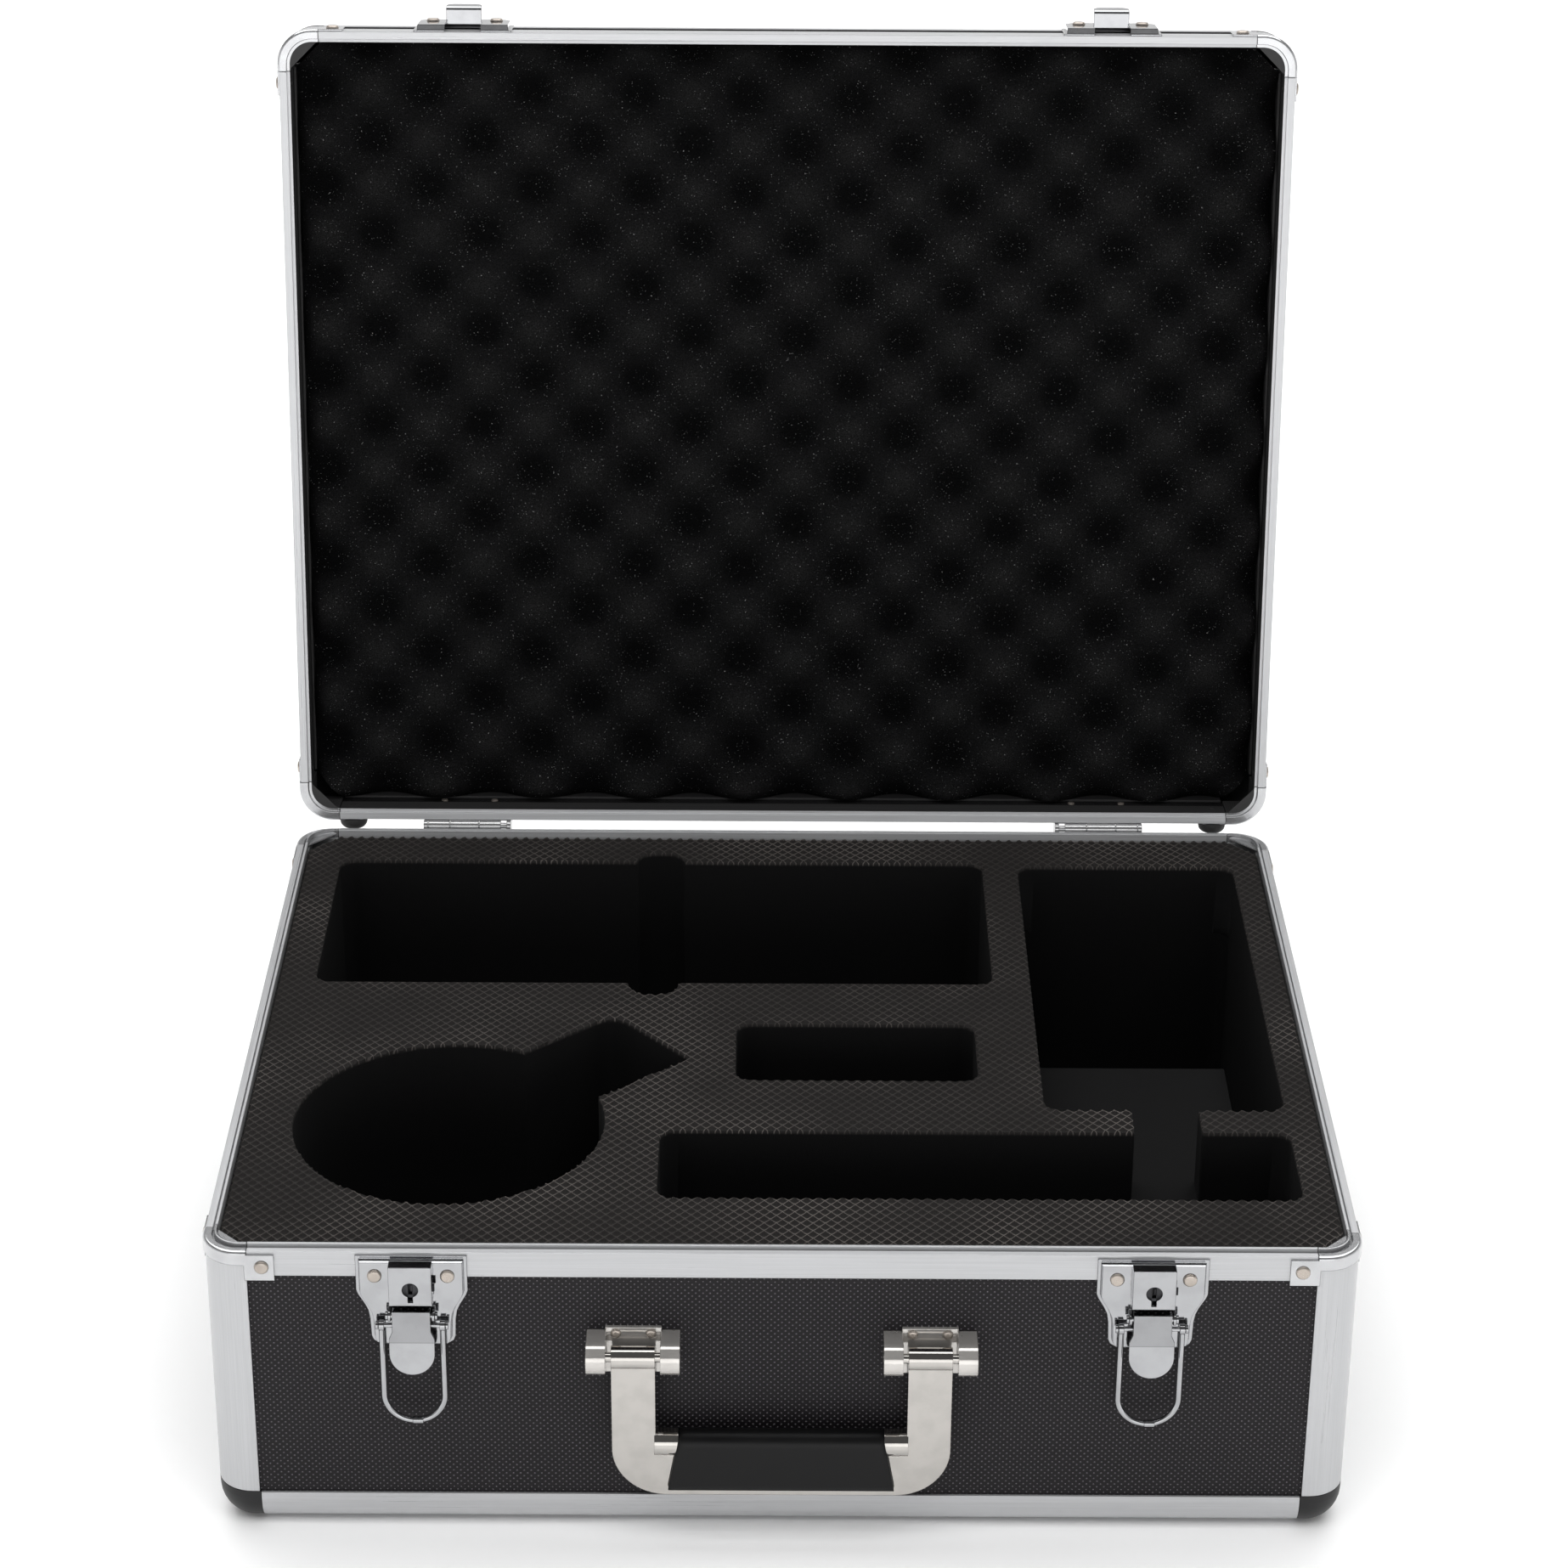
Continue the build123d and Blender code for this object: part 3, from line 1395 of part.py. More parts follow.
lid_feet = [foot(place, bracket_sheet, foot_grip) for place in lid_foot_places]
save("lid_feet", on_lid(group("lid_feet", lid_feet)))
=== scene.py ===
"""Looks of an open flight case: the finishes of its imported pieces, and its foam in full.

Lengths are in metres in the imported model's own frame, with X to the right, Y to the hinges and Z
up. The foam's own sizes are in millimetres, as a foam cutter would write them.
"""

from __future__ import annotations

import json
import logging
import math
from dataclasses import dataclass
from enum import Enum
from typing import Any, Callable, Sequence

import bmesh
import bpy
import numpy as np
from mathutils import Matrix, Vector
from mathutils.geometry import delaunay_2d_cdt

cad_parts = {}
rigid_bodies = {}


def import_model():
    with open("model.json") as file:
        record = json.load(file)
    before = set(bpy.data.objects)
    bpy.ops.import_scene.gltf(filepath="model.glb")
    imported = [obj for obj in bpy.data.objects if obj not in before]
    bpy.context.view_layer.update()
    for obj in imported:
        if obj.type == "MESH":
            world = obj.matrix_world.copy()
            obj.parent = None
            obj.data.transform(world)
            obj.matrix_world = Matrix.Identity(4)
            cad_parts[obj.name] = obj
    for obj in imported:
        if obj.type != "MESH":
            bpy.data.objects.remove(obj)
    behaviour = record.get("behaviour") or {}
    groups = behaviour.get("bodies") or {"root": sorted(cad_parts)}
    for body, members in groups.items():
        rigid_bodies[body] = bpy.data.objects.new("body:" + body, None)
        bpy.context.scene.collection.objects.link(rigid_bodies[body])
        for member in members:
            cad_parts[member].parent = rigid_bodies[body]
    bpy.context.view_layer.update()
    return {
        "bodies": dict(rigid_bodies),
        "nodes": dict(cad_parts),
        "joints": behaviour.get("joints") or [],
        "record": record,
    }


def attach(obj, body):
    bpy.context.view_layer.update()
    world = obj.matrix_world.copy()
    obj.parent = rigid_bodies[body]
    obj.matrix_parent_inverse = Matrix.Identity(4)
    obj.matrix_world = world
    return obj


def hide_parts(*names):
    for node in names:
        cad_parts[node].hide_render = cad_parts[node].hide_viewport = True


LOG = logging.getLogger("flight_case")
MM = 0.001
MIX_SHARE, MIX_FIRST, MIX_SECOND, MIX_RESULT = 0, 6, 7, 2  # sockets of a colour's Mix node
INSIDE_BLACK = (0.013, 0.0127, 0.013)  # near-black colour painted on the lid's inner faces and over its profiles' inner edges


def operator(operation: str, flipped: bool = False) -> Callable[..., "Value"]:
    """Method of a value that adds one Math node.

    Args:
        operation: the node's operation.
        flipped: whether the value is its last operand.

    Returns:
        The method.
    """
    def method(value: "Value", *others: Any) -> "Value":
        """The node's result."""
        operands = (*others, value) if flipped else (value, *others)
        settings = {"operation": operation}
        return value.shade.node("ShaderNodeMath", settings, dict(enumerate(operands)))

    return method


class Value:
    """One shader socket. Python's operators on it add Math nodes."""

    __add__ = __radd__ = operator("ADD")
    __sub__ = operator("SUBTRACT")
    __rsub__ = operator("SUBTRACT", flipped=True)
    __mul__ = __rmul__ = operator("MULTIPLY")
    __truediv__ = operator("DIVIDE")
    __gt__ = operator("GREATER_THAN")
    __abs__ = operator("ABSOLUTE")
    cosine = operator("COSINE")
    larger = operator("MAXIMUM")
    smaller = operator("MINIMUM")

    def __init__(self, shade: "Shade", socket: bpy.types.NodeSocket) -> None:
        """Keep the socket and the tree that it belongs to."""
        self.shade, self.socket = shade, socket

    def ramp(self, low: float, high: float) -> "Value":
        """Smooth step from 0 at low to 1 at high."""
        settings = {"interpolation_type": "SMOOTHSTEP"}
        inputs = {"Value": self, "From Min": low, "From Max": high, "To Min": 0.0, "To Max": 1.0}
        return self.shade.node("ShaderNodeMapRange", settings, inputs, "Result")


class Shade:
    """A material's node tree with one Principled shader in it."""

    def __init__(self, name: str) -> None:
        """Make an empty material of that name."""
        self.material = bpy.data.materials.new(name)
        self.material.use_nodes = True
        self.tree = self.material.node_tree
        self.tree.nodes.clear()
        self.surface = self.tree.nodes.new("ShaderNodeBsdfPrincipled")
        output = self.tree.nodes.new("ShaderNodeOutputMaterial")
        self.tree.links.new(self.surface.outputs["BSDF"], output.inputs["Surface"])

    def _feed(self, socket: bpy.types.NodeSocket, value: Any) -> None:
        """Link a value to a socket, or set the socket to a number, vector or colour."""
        if isinstance(value, Value):
            self.tree.links.new(value.socket, socket)
        elif isinstance(value, (tuple, list)) and len(value) == 3 and socket.type == "RGBA":
            socket.default_value = (*value, 1.0)
        else:
            socket.default_value = value

    def _add(self, kind: str, settings: dict[str, Any], inputs: dict[Any, Any]) -> bpy.types.Node:
        """Add one node; the arguments are those of the next method."""
        made = self.tree.nodes.new(kind)
        for key, setting in settings.items():
            setattr(made, key, setting)
        for key, value in inputs.items():
            self._feed(made.inputs[key], value)
        return made

    def node(self, kind: str, settings: dict[str, Any], inputs: dict[Any, Any],
             output: Any = 0) -> Value:
        """Add one node and take one of its outputs.

        Args:
            kind: the node's type.
            settings: its properties, set before its inputs.
            inputs: socket name or number to a value, number, vector or colour.
            output: name or number of the socket that is returned.

        Returns:
            The chosen output.
        """
        return Value(self, self._add(kind, settings, inputs).outputs[output])

    def place(self, turn: Matrix | None = None) -> Value:
        """Object coordinates, turned and moved by a matrix where one is given.

        Args:
            turn: matrix from the part's frame to the pattern's frame.

        Returns:
            The coordinates.
        """
        where = self.node("ShaderNodeTexCoord", {}, {}, "Object")
        if turn is None:
            return where
        inputs = {"Vector": where, "Location": tuple(turn.to_translation()),
                  "Rotation": tuple(turn.to_euler())}
        return self.node("ShaderNodeMapping", {"vector_type": "POINT"}, inputs)

    def parts(self, vector: Value) -> tuple[Value, Value, Value]:
        """The three parts of a vector."""
        split = self._add("ShaderNodeSeparateXYZ", {}, {0: vector})
        return tuple(Value(self, socket) for socket in split.outputs)

    def stretched(self, vector: Value, factors: Sequence[float]) -> Value:
        """Vector with each part multiplied by its own factor."""
        settings = {"operation": "MULTIPLY"}
        return self.node("ShaderNodeVectorMath", settings, {0: vector, 1: tuple(factors)})

    def noise(self, vector: Value, scale: float, detail: float = 2.0,
              roughness: float = 0.5) -> Value:
        """Cloudy pattern between 0 and 1.

        Args:
            vector: where the pattern is read.
            scale: clouds per metre.
            detail: number of finer layers.
            roughness: weight of the finer layers.

        Returns:
            The pattern's height.
        """
        inputs = {"Vector": vector, "Scale": scale, "Detail": detail, "Roughness": roughness}
        return self.node("ShaderNodeTexNoise", {}, inputs, "Fac")

    def mix(self, share: Any, first: Any, second: Any) -> Value:
        """Colour between two colours.

        Args:
            share: 0 for the first colour and 1 for the second.
            first: a colour.
            second: a colour.

        Returns:
            The mixed colour.
        """
        inputs = {MIX_SHARE: share, MIX_FIRST: first, MIX_SECOND: second}
        return self.node("ShaderNodeMix", {"data_type": "RGBA"}, inputs, MIX_RESULT)

    def clouded(self, share: Any, colour: Sequence[float], dark: float, light: float) -> Value:
        """Colour that varies from its dark multiple to its light one.

        Args:
            share: 0 where it is dark and 1 where it is light.
            colour: the colour.
            dark: its factor where it is dark.
            light: its factor where it is light.

        Returns:
            The varied colour.
        """
        return self.mix(share, *(tuple(k * part for part in colour) for k in (dark, light)))

    def bump(self, height: Value, distance: float, under: Value | None = None) -> Value:
        """Normal turned by a height pattern.

        Args:
            height: the pattern.
            distance: height in metres of one unit of it.
            under: another bump that this one lies on.

        Returns:
            The normal.
        """
        inputs: dict[Any, Any] = {"Height": height, "Distance": distance, "Strength": 1.0}
        if under is not None:
            inputs["Normal"] = under
        return self.node("ShaderNodeBump", {}, inputs)

    def rounded(self, radius: float) -> Value:
        """Normal that rounds every edge by that radius in metres."""
        return self.node("ShaderNodeBevel", {"samples": 8}, {"Radius": radius}, "Normal")

    def edge_shade_share(self, rounded: Value) -> Value:
        """How near a point lies to an edge, from 0 to 1.

        It grows as the rounded normal and the surface's own normal part, which is 1 minus their
        dot product.
        """
        own = self.node("ShaderNodeNewGeometry", {}, {}, "Normal")
        alike = self.node("ShaderNodeVectorMath", {"operation": "DOT_PRODUCT"},
                          {0: rounded, 1: own}, "Value")
        return (1 - alike).ramp(0.02, 0.16)

    def finish(self, **inputs: Any) -> bpy.types.Material:
        """Set the shader's inputs, whose names have underscores for spaces."""
        for key, value in inputs.items():
            self._feed(self.surface.inputs[key.replace("_", " ")], value)
        return self.material


class Grain(Enum):
    """Direction in which a metal piece was brushed or drawn, by axis number."""

    ALONG_X = 0
    ALONG_Y = 1
    ALONG_Z = 2


class Wall(Enum):
    """Axes that a panel's pattern runs along."""

    FRONT = (0, 2)
    SIDE = (1, 2)
    FLAT = (0, 1)


@dataclass(frozen=True)
class LidTurn:
    """The hinge's turn, which carries the open lid to the shut one."""

    hinge_y: float = 0.18945
    hinge_z: float = 0.13375
    degrees: float = 98.6

    def shut(self) -> Matrix:
        """Matrix from the open lid to the shut lid."""
        to_axis = Matrix.Translation((0, self.hinge_y, self.hinge_z))
        return to_axis @ Matrix.Rotation(math.radians(self.degrees), 4, "X") @ to_axis.inverted()

    def opened(self) -> Matrix:
        """Matrix from the shut lid to the open lid."""
        return self.shut().inverted()


@dataclass(frozen=True)
class Laminate:
    """Black laminate with raised dots in staggered rows, their tips painted with pale glints."""

    pitch_across: float = 2.86 * MM
    pitch_up: float = 2.72 * MM
    relief: float = 0.42 * MM
    ground: tuple[float, float, float] = (0.0066, 0.0056, 0.0068)
    # pale colour painted on the dot tips as glints
    dot: tuple[float, float, float] = (0.158, 0.150, 0.162)
    back: tuple[float, float, float] = (0.0035, 0.0034, 0.0036)
    roughness: float = 0.40
    gloss: float = 0.22
    fine_scale: float = 1600
    cloud_scale: float = 22
    skin_relief: float = 0.03 * MM

    def make(self, name: str, wall: Wall, turn: Matrix | None = None,
             inner: float = 0.0) -> bpy.types.Material:
        """Material for panels in one direction.

        The dots stand where the cosines of the two diagonals both peak.

        Args:
            name: the material's name.
            wall: the panel's direction.
            turn: matrix to the shut lid, for the lid's panels.
            inner: distance from the middle plane within which a wall shows its matt inner face.

        Returns:
            The material.
        """
        shade = Shade(name)
        where = shade.place(turn)
        axes = shade.parts(where)
        across, up = (axes[k] for k in wall.value)
        turn_across = across * (math.tau / self.pitch_across)
        turn_up = up * (math.tau / self.pitch_up)
        first = (turn_across + turn_up).cosine() * 0.5 + 0.5
        second = (turn_across - turn_up).cosine() * 0.5 + 0.5
        both = first * second
        dots, tip_glints = both.ramp(0.25, 0.95), both.ramp(0.66, 0.94)
        fine = shade.noise(where, self.fine_scale, 3)
        cloud = shade.noise(where, self.cloud_scale)
        skin = shade.bump(fine, self.skin_relief)
        normal = shade.bump(dots, self.relief, skin)
        ground = shade.clouded(cloud, self.ground, 0.8, 1.3)
        # painted glints: the tips of the dots take the pale dot colour
        colour = shade.mix(tip_glints * (0.5 + fine * 0.6), ground, self.dot)
        roughness = self.roughness + (0.10 - dots * 0.16) + (cloud - 0.5) * 0.12
        if inner > 0:
            across_wall = axes[3 - sum(wall.value)]
            matt = 1 - (abs(across_wall) > inner)
            colour = shade.mix(matt, colour, self.back)
            roughness = roughness + matt * 0.5
        return shade.finish(Base_Color=colour, Roughness=roughness, Normal=normal,
                            Specular_IOR_Level=self.gloss)


@dataclass(frozen=True)
class DrawnMetal:
    """Satin anodised aluminium with fine lines along its length.

    The share that is bare is how much of it mirrors as metal; the rest scatters in the oxide.
    Inside the lid it is painted near-black, and that paint laps over a profile's edge by black_over
    where that is above black_from.
    """

    colour: tuple[float, float, float] = (0.485, 0.489, 0.500)
    roughness: float = 0.33
    bare: float = 0.55
    line_depth: float = 0.006 * MM
    edge: float = 0.45 * MM
    # near-black paint inside the lid: its lap over an edge, the height above which it laps, its
    # extra roughness
    black_over: float = 3.3 * MM
    black_from: float = 136.6 * MM
    black_rough: float = 0.3
    stretch: float = 0.008
    line_scale: float = 1900
    broad_scale: float = 260
    cloud_scale: float = 14

    def make(self, name: str, grain: Grain, turn: Matrix | None = None,
             side_from: float | None = None,
             blackened_within: tuple[float, float] | None = None) -> bpy.types.Material:
        """Material for profiles in one direction, or round a rectangle.

        Args:
            name: the material's name.
            grain: direction of the lines.
            turn: matrix to the shut lid, for the lid's profiles.
            side_from: distance from the middle plane beyond which the lines run along Y.
            blackened_within: half the width and half the depth inside which it is painted
                near-black.

        Returns:
            The material.
        """
        shade = Shade(name)
        where = shade.place(turn)
        factors = [1.0, 1.0, 1.0]
        factors[grain.value] = self.stretch
        lines = shade.noise(shade.stretched(where, factors), self.line_scale, 4, 0.65)
        broad = shade.noise(shade.stretched(where, factors), self.broad_scale)
        if side_from is not None:
            side = abs(shade.parts(where)[0]) > side_from
            crossed = shade.noise(shade.stretched(where, (1.0, self.stretch, 1.0)),
                                  self.line_scale, 4, 0.65)
            lines = lines + (crossed - lines) * side
        cloud = shade.noise(where, self.cloud_scale, 3)
        mark = lines.ramp(0.30, 0.70)
        colour = shade.clouded(mark, self.colour, 0.90, 1.0)
        roughness = (self.roughness + (mark - 0.5) * 0.10 + (broad - 0.5) * 0.10
                     + (cloud - 0.5) * 0.08)
        normal = shade.bump(lines, self.line_depth, shade.rounded(self.edge))
        bare: Any = self.bare
        # near-black paint on the lid's inner faces, lapping over the inner edges above a given
        # height
        if blackened_within is not None:
            x, y, z = shade.parts(where)
            inner = (1 - (abs(x) > blackened_within[0])) * (1 - (abs(y) > blackened_within[1]))
            outer = (1 - (abs(x) > blackened_within[0] + self.black_over)) * (
                1 - (abs(y) > blackened_within[1] + self.black_over))
            blackened = inner.larger(outer * (z > self.black_from))
            colour = shade.mix(blackened, colour, INSIDE_BLACK)
            bare = (1 - blackened) * self.bare
            roughness = roughness + blackened * self.black_rough
        return shade.finish(Base_Color=colour, Roughness=roughness, Metallic=bare, Normal=normal)


@dataclass(frozen=True)
class PlatedMetal:
    """Plated steel or zinc, from mirror-bright to satin.

    Its edges are rounded by the edge, and painted shade and dark reflection darken them by the
    line's share. A folded piece leans by the fold's slope and is painted darker above the fold and
    in a band along it, as painted shade; the near-black paint inside the lid has corners rounded by
    the bend.
    """

    colour: tuple[float, float, float]
    roughness: float
    ripple: float = 0.02 * MM
    spots: float = 0.10
    bare: float = 1.0
    edge: float = 0.55 * MM
    # share of painted shade and dark reflection on the rounded edges
    line: float = 0.75
    fold_slope: float = 0.10
    bend: float = 10.2 * MM
    black_rough: float = 0.4
    # width of the painted dark band along a fold
    crease: float = 0.35 * MM
    peel_scale: float = 420
    haze_scale: float = 120
    dust_scale: float = 2600

    def make(self, name: str, fold: float | None = None,
             blackened_within: tuple[float, float] | None = None) -> bpy.types.Material:
        """Material for plated pieces.

        Args:
            name: the material's name.
            fold: height below which the piece leans outwards a little, where it was folded; above
                it
            the piece is painted darker, with a dark band along it, as painted shade.
            blackened_within: half the width and half the depth of a rectangle with rounded corners,
                on the shut lid, inside which the piece is painted near-black.

        Returns:
            The material.
        """
        shade = Shade(name)
        where = shade.place()
        peel = shade.noise(where, self.peel_scale)
        haze = shade.noise(where, self.haze_scale, 3)
        dust = shade.noise(where, self.dust_scale)
        colour = shade.clouded(haze.ramp(0.35, 0.75), self.colour, 1.0, 1 - self.spots)
        roughness = self.roughness * (0.75 + haze * 0.5) + dust.ramp(0.60, 0.80) * 0.05
        rounded = shade.rounded(self.edge)
        normal = shade.bump(peel, self.ripple, rounded)
        if fold is not None:
            above = shade.parts(where)[2] - fold
            normal = shade.bump((0 - above).larger(0.0) * self.fold_slope, 1.0, normal)
            # painted shade: darker above the fold, and a dark band along it
            crease = 1 - abs(above).ramp(0.0, self.crease)
            dim = (above.ramp(-0.2 * MM, 0.2 * MM) * 0.22 + crease * 0.3).smaller(1.0)
            colour = shade.mix(dim, colour, (0.02, 0.02, 0.02))
        # painted shade and dark reflection along every rounded edge, by the line's share
        colour = shade.mix(shade.edge_shade_share(rounded) * self.line, colour, (0.015, 0.015, 0.016))
        bare: Any = self.bare
        # near-black paint inside the lid, in a rectangle with rounded corners on the shut lid
        if blackened_within is not None:
            x, y, _ = shade.parts(shade.place(LidTurn().shut()))
            past_x = (abs(x) - (blackened_within[0] - self.bend)).larger(0.0)
            past_y = (abs(y) - (blackened_within[1] - self.bend)).larger(0.0)
            blackened = 1 - (past_x * past_x + past_y * past_y > self.bend ** 2)
            colour = shade.mix(blackened, colour, INSIDE_BLACK)
            bare = (1 - blackened) * self.bare
            roughness = roughness + blackened * self.black_rough
        return shade.finish(Base_Color=colour, Roughness=roughness, Metallic=bare, Normal=normal)


@dataclass(frozen=True)
class MouldedBlack:
    """Black plastic or rubber with a fine cast grain."""

    colour: tuple[float, float, float]
    roughness: float
    grain: float = 0.03 * MM
    grain_scale: float = 1500.0
    gloss: float = 0.30
    edge: float = 0.8 * MM
    cloud_scale: float = 60

    def make(self, name: str) -> bpy.types.Material:
        """Material for moulded pieces.

        Args:
            name: the material's name.

        Returns:
            The material.
        """
        shade = Shade(name)
        where = shade.place()
        fine = shade.noise(where, self.grain_scale, 3)
        cloud = shade.noise(where, self.cloud_scale, 3)
        colour = shade.clouded(cloud, self.colour, 0.8, 1.25)
        roughness = self.roughness + (cloud - 0.5) * 0.12 + (fine - 0.5) * 0.08
        normal = shade.bump(fine, self.grain, shade.rounded(self.edge))
        return shade.finish(Base_Color=colour, Roughness=roughness, Normal=normal,
                            Specular_IOR_Level=self.gloss)


@dataclass(frozen=True)
class MeshFoam:
    """Foam block with a pressed mesh, a painted highlight on its ridges and darker walls, partly
    painted shade.
    """

    pitch_x: float
    pitch_y: float
    top: float
    skin: tuple[float, float, float] = (0.0102, 0.0093, 0.0088)
    # pale colour painted on the mesh's ridges as a highlight
    ridge: tuple[float, float, float] = (0.120, 0.108, 0.100)
    # colour below the top: partly the duller cut face, partly painted shade of the cut-outs and the
    # shelf
    wall: tuple[float, float, float] = (0.0022, 0.0022, 0.0023)
    wall_below: float = 2.6 * MM
    skin_above: float = 1.4 * MM
    pore_scale: float = 2400
    pore_depth: float = 0.12 * MM
    cloud_scale: float = 30
    highlight_patch_scale: float = 13

    def make(self, name: str) -> bpy.types.Material:
        """Material for the cut insert.

        A ridge runs where either diagonal's cosine is at its peak.

        Args:
            name: the material's name.

        Returns:
            The material.
        """
        shade = Shade(name)
        where = shade.place()
        x, y, z = shade.parts(where)
        rise, fall = x / self.pitch_x + y / self.pitch_y, x / self.pitch_x - y / self.pitch_y
        first, second = (rise * math.tau).cosine(), (fall * math.tau).cosine()
        ridge = first.larger(second).ramp(0.925, 0.993)
        pores = shade.noise(where, self.pore_scale, 3, 0.7)
        cloud = shade.noise(where, self.cloud_scale, 3)
        highlight_patches = shade.noise(where, self.highlight_patch_scale).ramp(0.35, 0.75)
        skin = shade.clouded(cloud, self.skin, 0.85, 1.2)
        # painted highlight: the ridges take the pale ridge colour, patchy by a slow noise
        marked = shade.mix(ridge * (0.14 + highlight_patches * 0.70) * (0.3 + pores * 1.4), skin, self.ridge)
        # painted shade below the top: walls and shelf take the much darker colour, partly the cut
        # face's own
        above = z.ramp(self.top - self.wall_below, self.top - self.skin_above)
        colour = shade.mix(above, self.wall, marked)
        normal = shade.bump(pores, self.pore_depth)
        return shade.finish(Base_Color=colour, Roughness=0.92, Normal=normal,
                            Specular_IOR_Level=0.25)


@dataclass(frozen=True)
class OpenFoam:
    """Black open-cell foam, dull, with painted glints on a few cells.

    Where it is an egg crate its crests are painted paler, as painted light, and its hollows darker,
    as painted shade; the two heights are in metres on the shut lid, and equal where the foam is
    flat.
    """

    # middle tone; pale is painted on the crests as light and deep in the hollows as shade
    middle: tuple[float, float, float] = (0.0046, 0.0045, 0.0048)
    pale: tuple[float, float, float] = (0.0082, 0.0080, 0.0082)
    deep: tuple[float, float, float] = (0.0012, 0.0012, 0.0014)
    crest: float = 0.0
    hollow: float = 0.0
    cell_scale: float = 1700
    cell_depth: float = 0.25 * MM
    glint_scale: float = 1500
    glint: tuple[float, float, float] = (0.24, 0.24, 0.24)

    def make(self, name: str, turn: Matrix | None = None) -> bpy.types.Material:
        """Material for soft foam.

        Args:
            name: the material's name.
            turn: matrix to the shut lid, for the lid's foam.

        Returns:
            The material.
        """
        shade = Shade(name)
        where = shade.place(turn)
        cells = shade.noise(where, self.cell_scale, 3, 0.75).ramp(0.36, 0.66)
        # painted glints: a few cells take a bright colour
        glints = shade.noise(where, self.glint_scale, 1).ramp(0.722, 0.752)
        colour: Any = self.middle
        # painted light on the crests and painted shade in the hollows, by height
        if self.hollow > self.crest:
            level = shade.parts(where)[2]
            deep = self.hollow - self.crest
            colour = shade.mix(level.ramp(self.crest + 0.48 * deep, self.hollow - 0.08 * deep),
                               self.middle, self.deep)
            colour = shade.mix(level.ramp(self.crest, self.crest + 0.45 * deep), self.pale, colour)
        dim, bright = (shade.stretched(colour, (k, k, k)) for k in (0.45, 1.7))
        colour = shade.mix(cells, dim, bright)
        colour = shade.mix(glints * 0.9, colour, self.glint)
        normal = shade.bump(cells, self.cell_depth)
        return shade.finish(Base_Color=colour, Roughness=0.95, Normal=normal,
                            Specular_IOR_Level=0.1)


def dress(frame: dict[str, Any], material: bpy.types.Material, *nodes: str) -> None:
    """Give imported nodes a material.

    Args:
        material: the material.
        nodes: names of the nodes.
    """
    for name in nodes:
        slots = frame["nodes"][name].data.materials
        if len(slots) == 0:
            slots.append(material)
        for index in range(len(slots)):
            slots[index] = material
    LOG.info("%s on %d nodes", material.name, len(nodes))


def linked(name: str, data: bpy.types.ID) -> bpy.types.Object:
    """New object in the scene with that name and data."""
    made = bpy.data.objects.new(name, data)
    bpy.context.scene.collection.objects.link(made)
    return made


def unit(vector: np.ndarray) -> np.ndarray:
    """Vector of length 1 in the same direction."""
    return vector / np.linalg.norm(vector)


def corner_run(before: np.ndarray, corner: np.ndarray, after: np.ndarray,
               radius: float) -> np.ndarray:
    """Points of one rounded corner.

    The arc touches both runs at radius / tan(half the corner's angle) from the corner, and its
    centre lies on the corner's bisector.

    Args:
        before: end of the run that comes in.
        corner: the corner itself.
        after: end of the run that goes out.
        radius: radius of the arc, or 0 for a sharp corner.

    Returns:
        The points, in order.
    """
    if radius <= 0:
        return corner[None]
    inward, outward = unit(before - corner), unit(after - corner)
    half = math.acos(float(np.clip(inward @ outward, -1, 1))) / 2
    start = corner + inward * radius / math.tan(half)
    end = corner + outward * radius / math.tan(half)
    centre = corner + unit(inward + outward) * radius / math.sin(half)
    first = math.atan2(*(start - centre)[::-1])
    last = math.atan2(*(end - centre)[::-1])
    sweep = (last - first + math.pi) % (2 * math.pi) - math.pi
    angles = first + np.linspace(0, 1, 14) * sweep
    return centre + radius * np.stack([np.cos(angles), np.sin(angles)], -1)


def evenly(points: np.ndarray, step: float) -> np.ndarray:
    """Closed line through the points, with points a step apart along it.

    Args:
        points: the line's corners.
        step: distance between the new points.

    Returns:
        The new points.
    """
    closed = np.concatenate([points, points[:1]])
    run = np.concatenate([[0], np.cumsum(np.linalg.norm(np.diff(closed, axis=0), axis=1))])
    count = max(int(round(run[-1] / step)), 8)
    wanted = np.linspace(0, run[-1], count, endpoint=False)
    return np.stack([np.interp(wanted, run, closed[:, k]) for k in (0, 1)], -1)


def rounded_loop(corners: Sequence[tuple[float, float, float]], step: float) -> np.ndarray:
    """Closed outline with rounded corners.

    Args:
        corners: x, y and radius of each corner, in order.
        step: distance between the outline's points.

    Returns:
        The outline's points.
    """
    places = np.array(corners, float)
    count = len(places)
    runs = [corner_run(places[k - 1, :2], places[k, :2], places[(k + 1) % count, :2], places[k, 2])
            for k in range(count)]
    return evenly(np.concatenate(runs), step)


def cut_corners(half_x: float, half_y: float, cut: float, radius: float,
                step: float) -> np.ndarray:
    """Outline of a rectangle about the middle with its corners cut off.

    Args:
        half_x: half its width.
        half_y: half its depth.
        cut: what is cut off each side at a corner.
        radius: radius of the eight new corners.
        step: distance between the outline's points.

    Returns:
        The outline's points.
    """
    x, y = half_x - cut, half_y - cut
    return rounded_loop([(-x, -half_y, radius), (x, -half_y, radius), (half_x, -y, radius),
                         (half_x, y, radius), (x, half_y, radius), (-x, half_y, radius),
                         (-half_x, y, radius), (-half_x, -y, radius)], step)


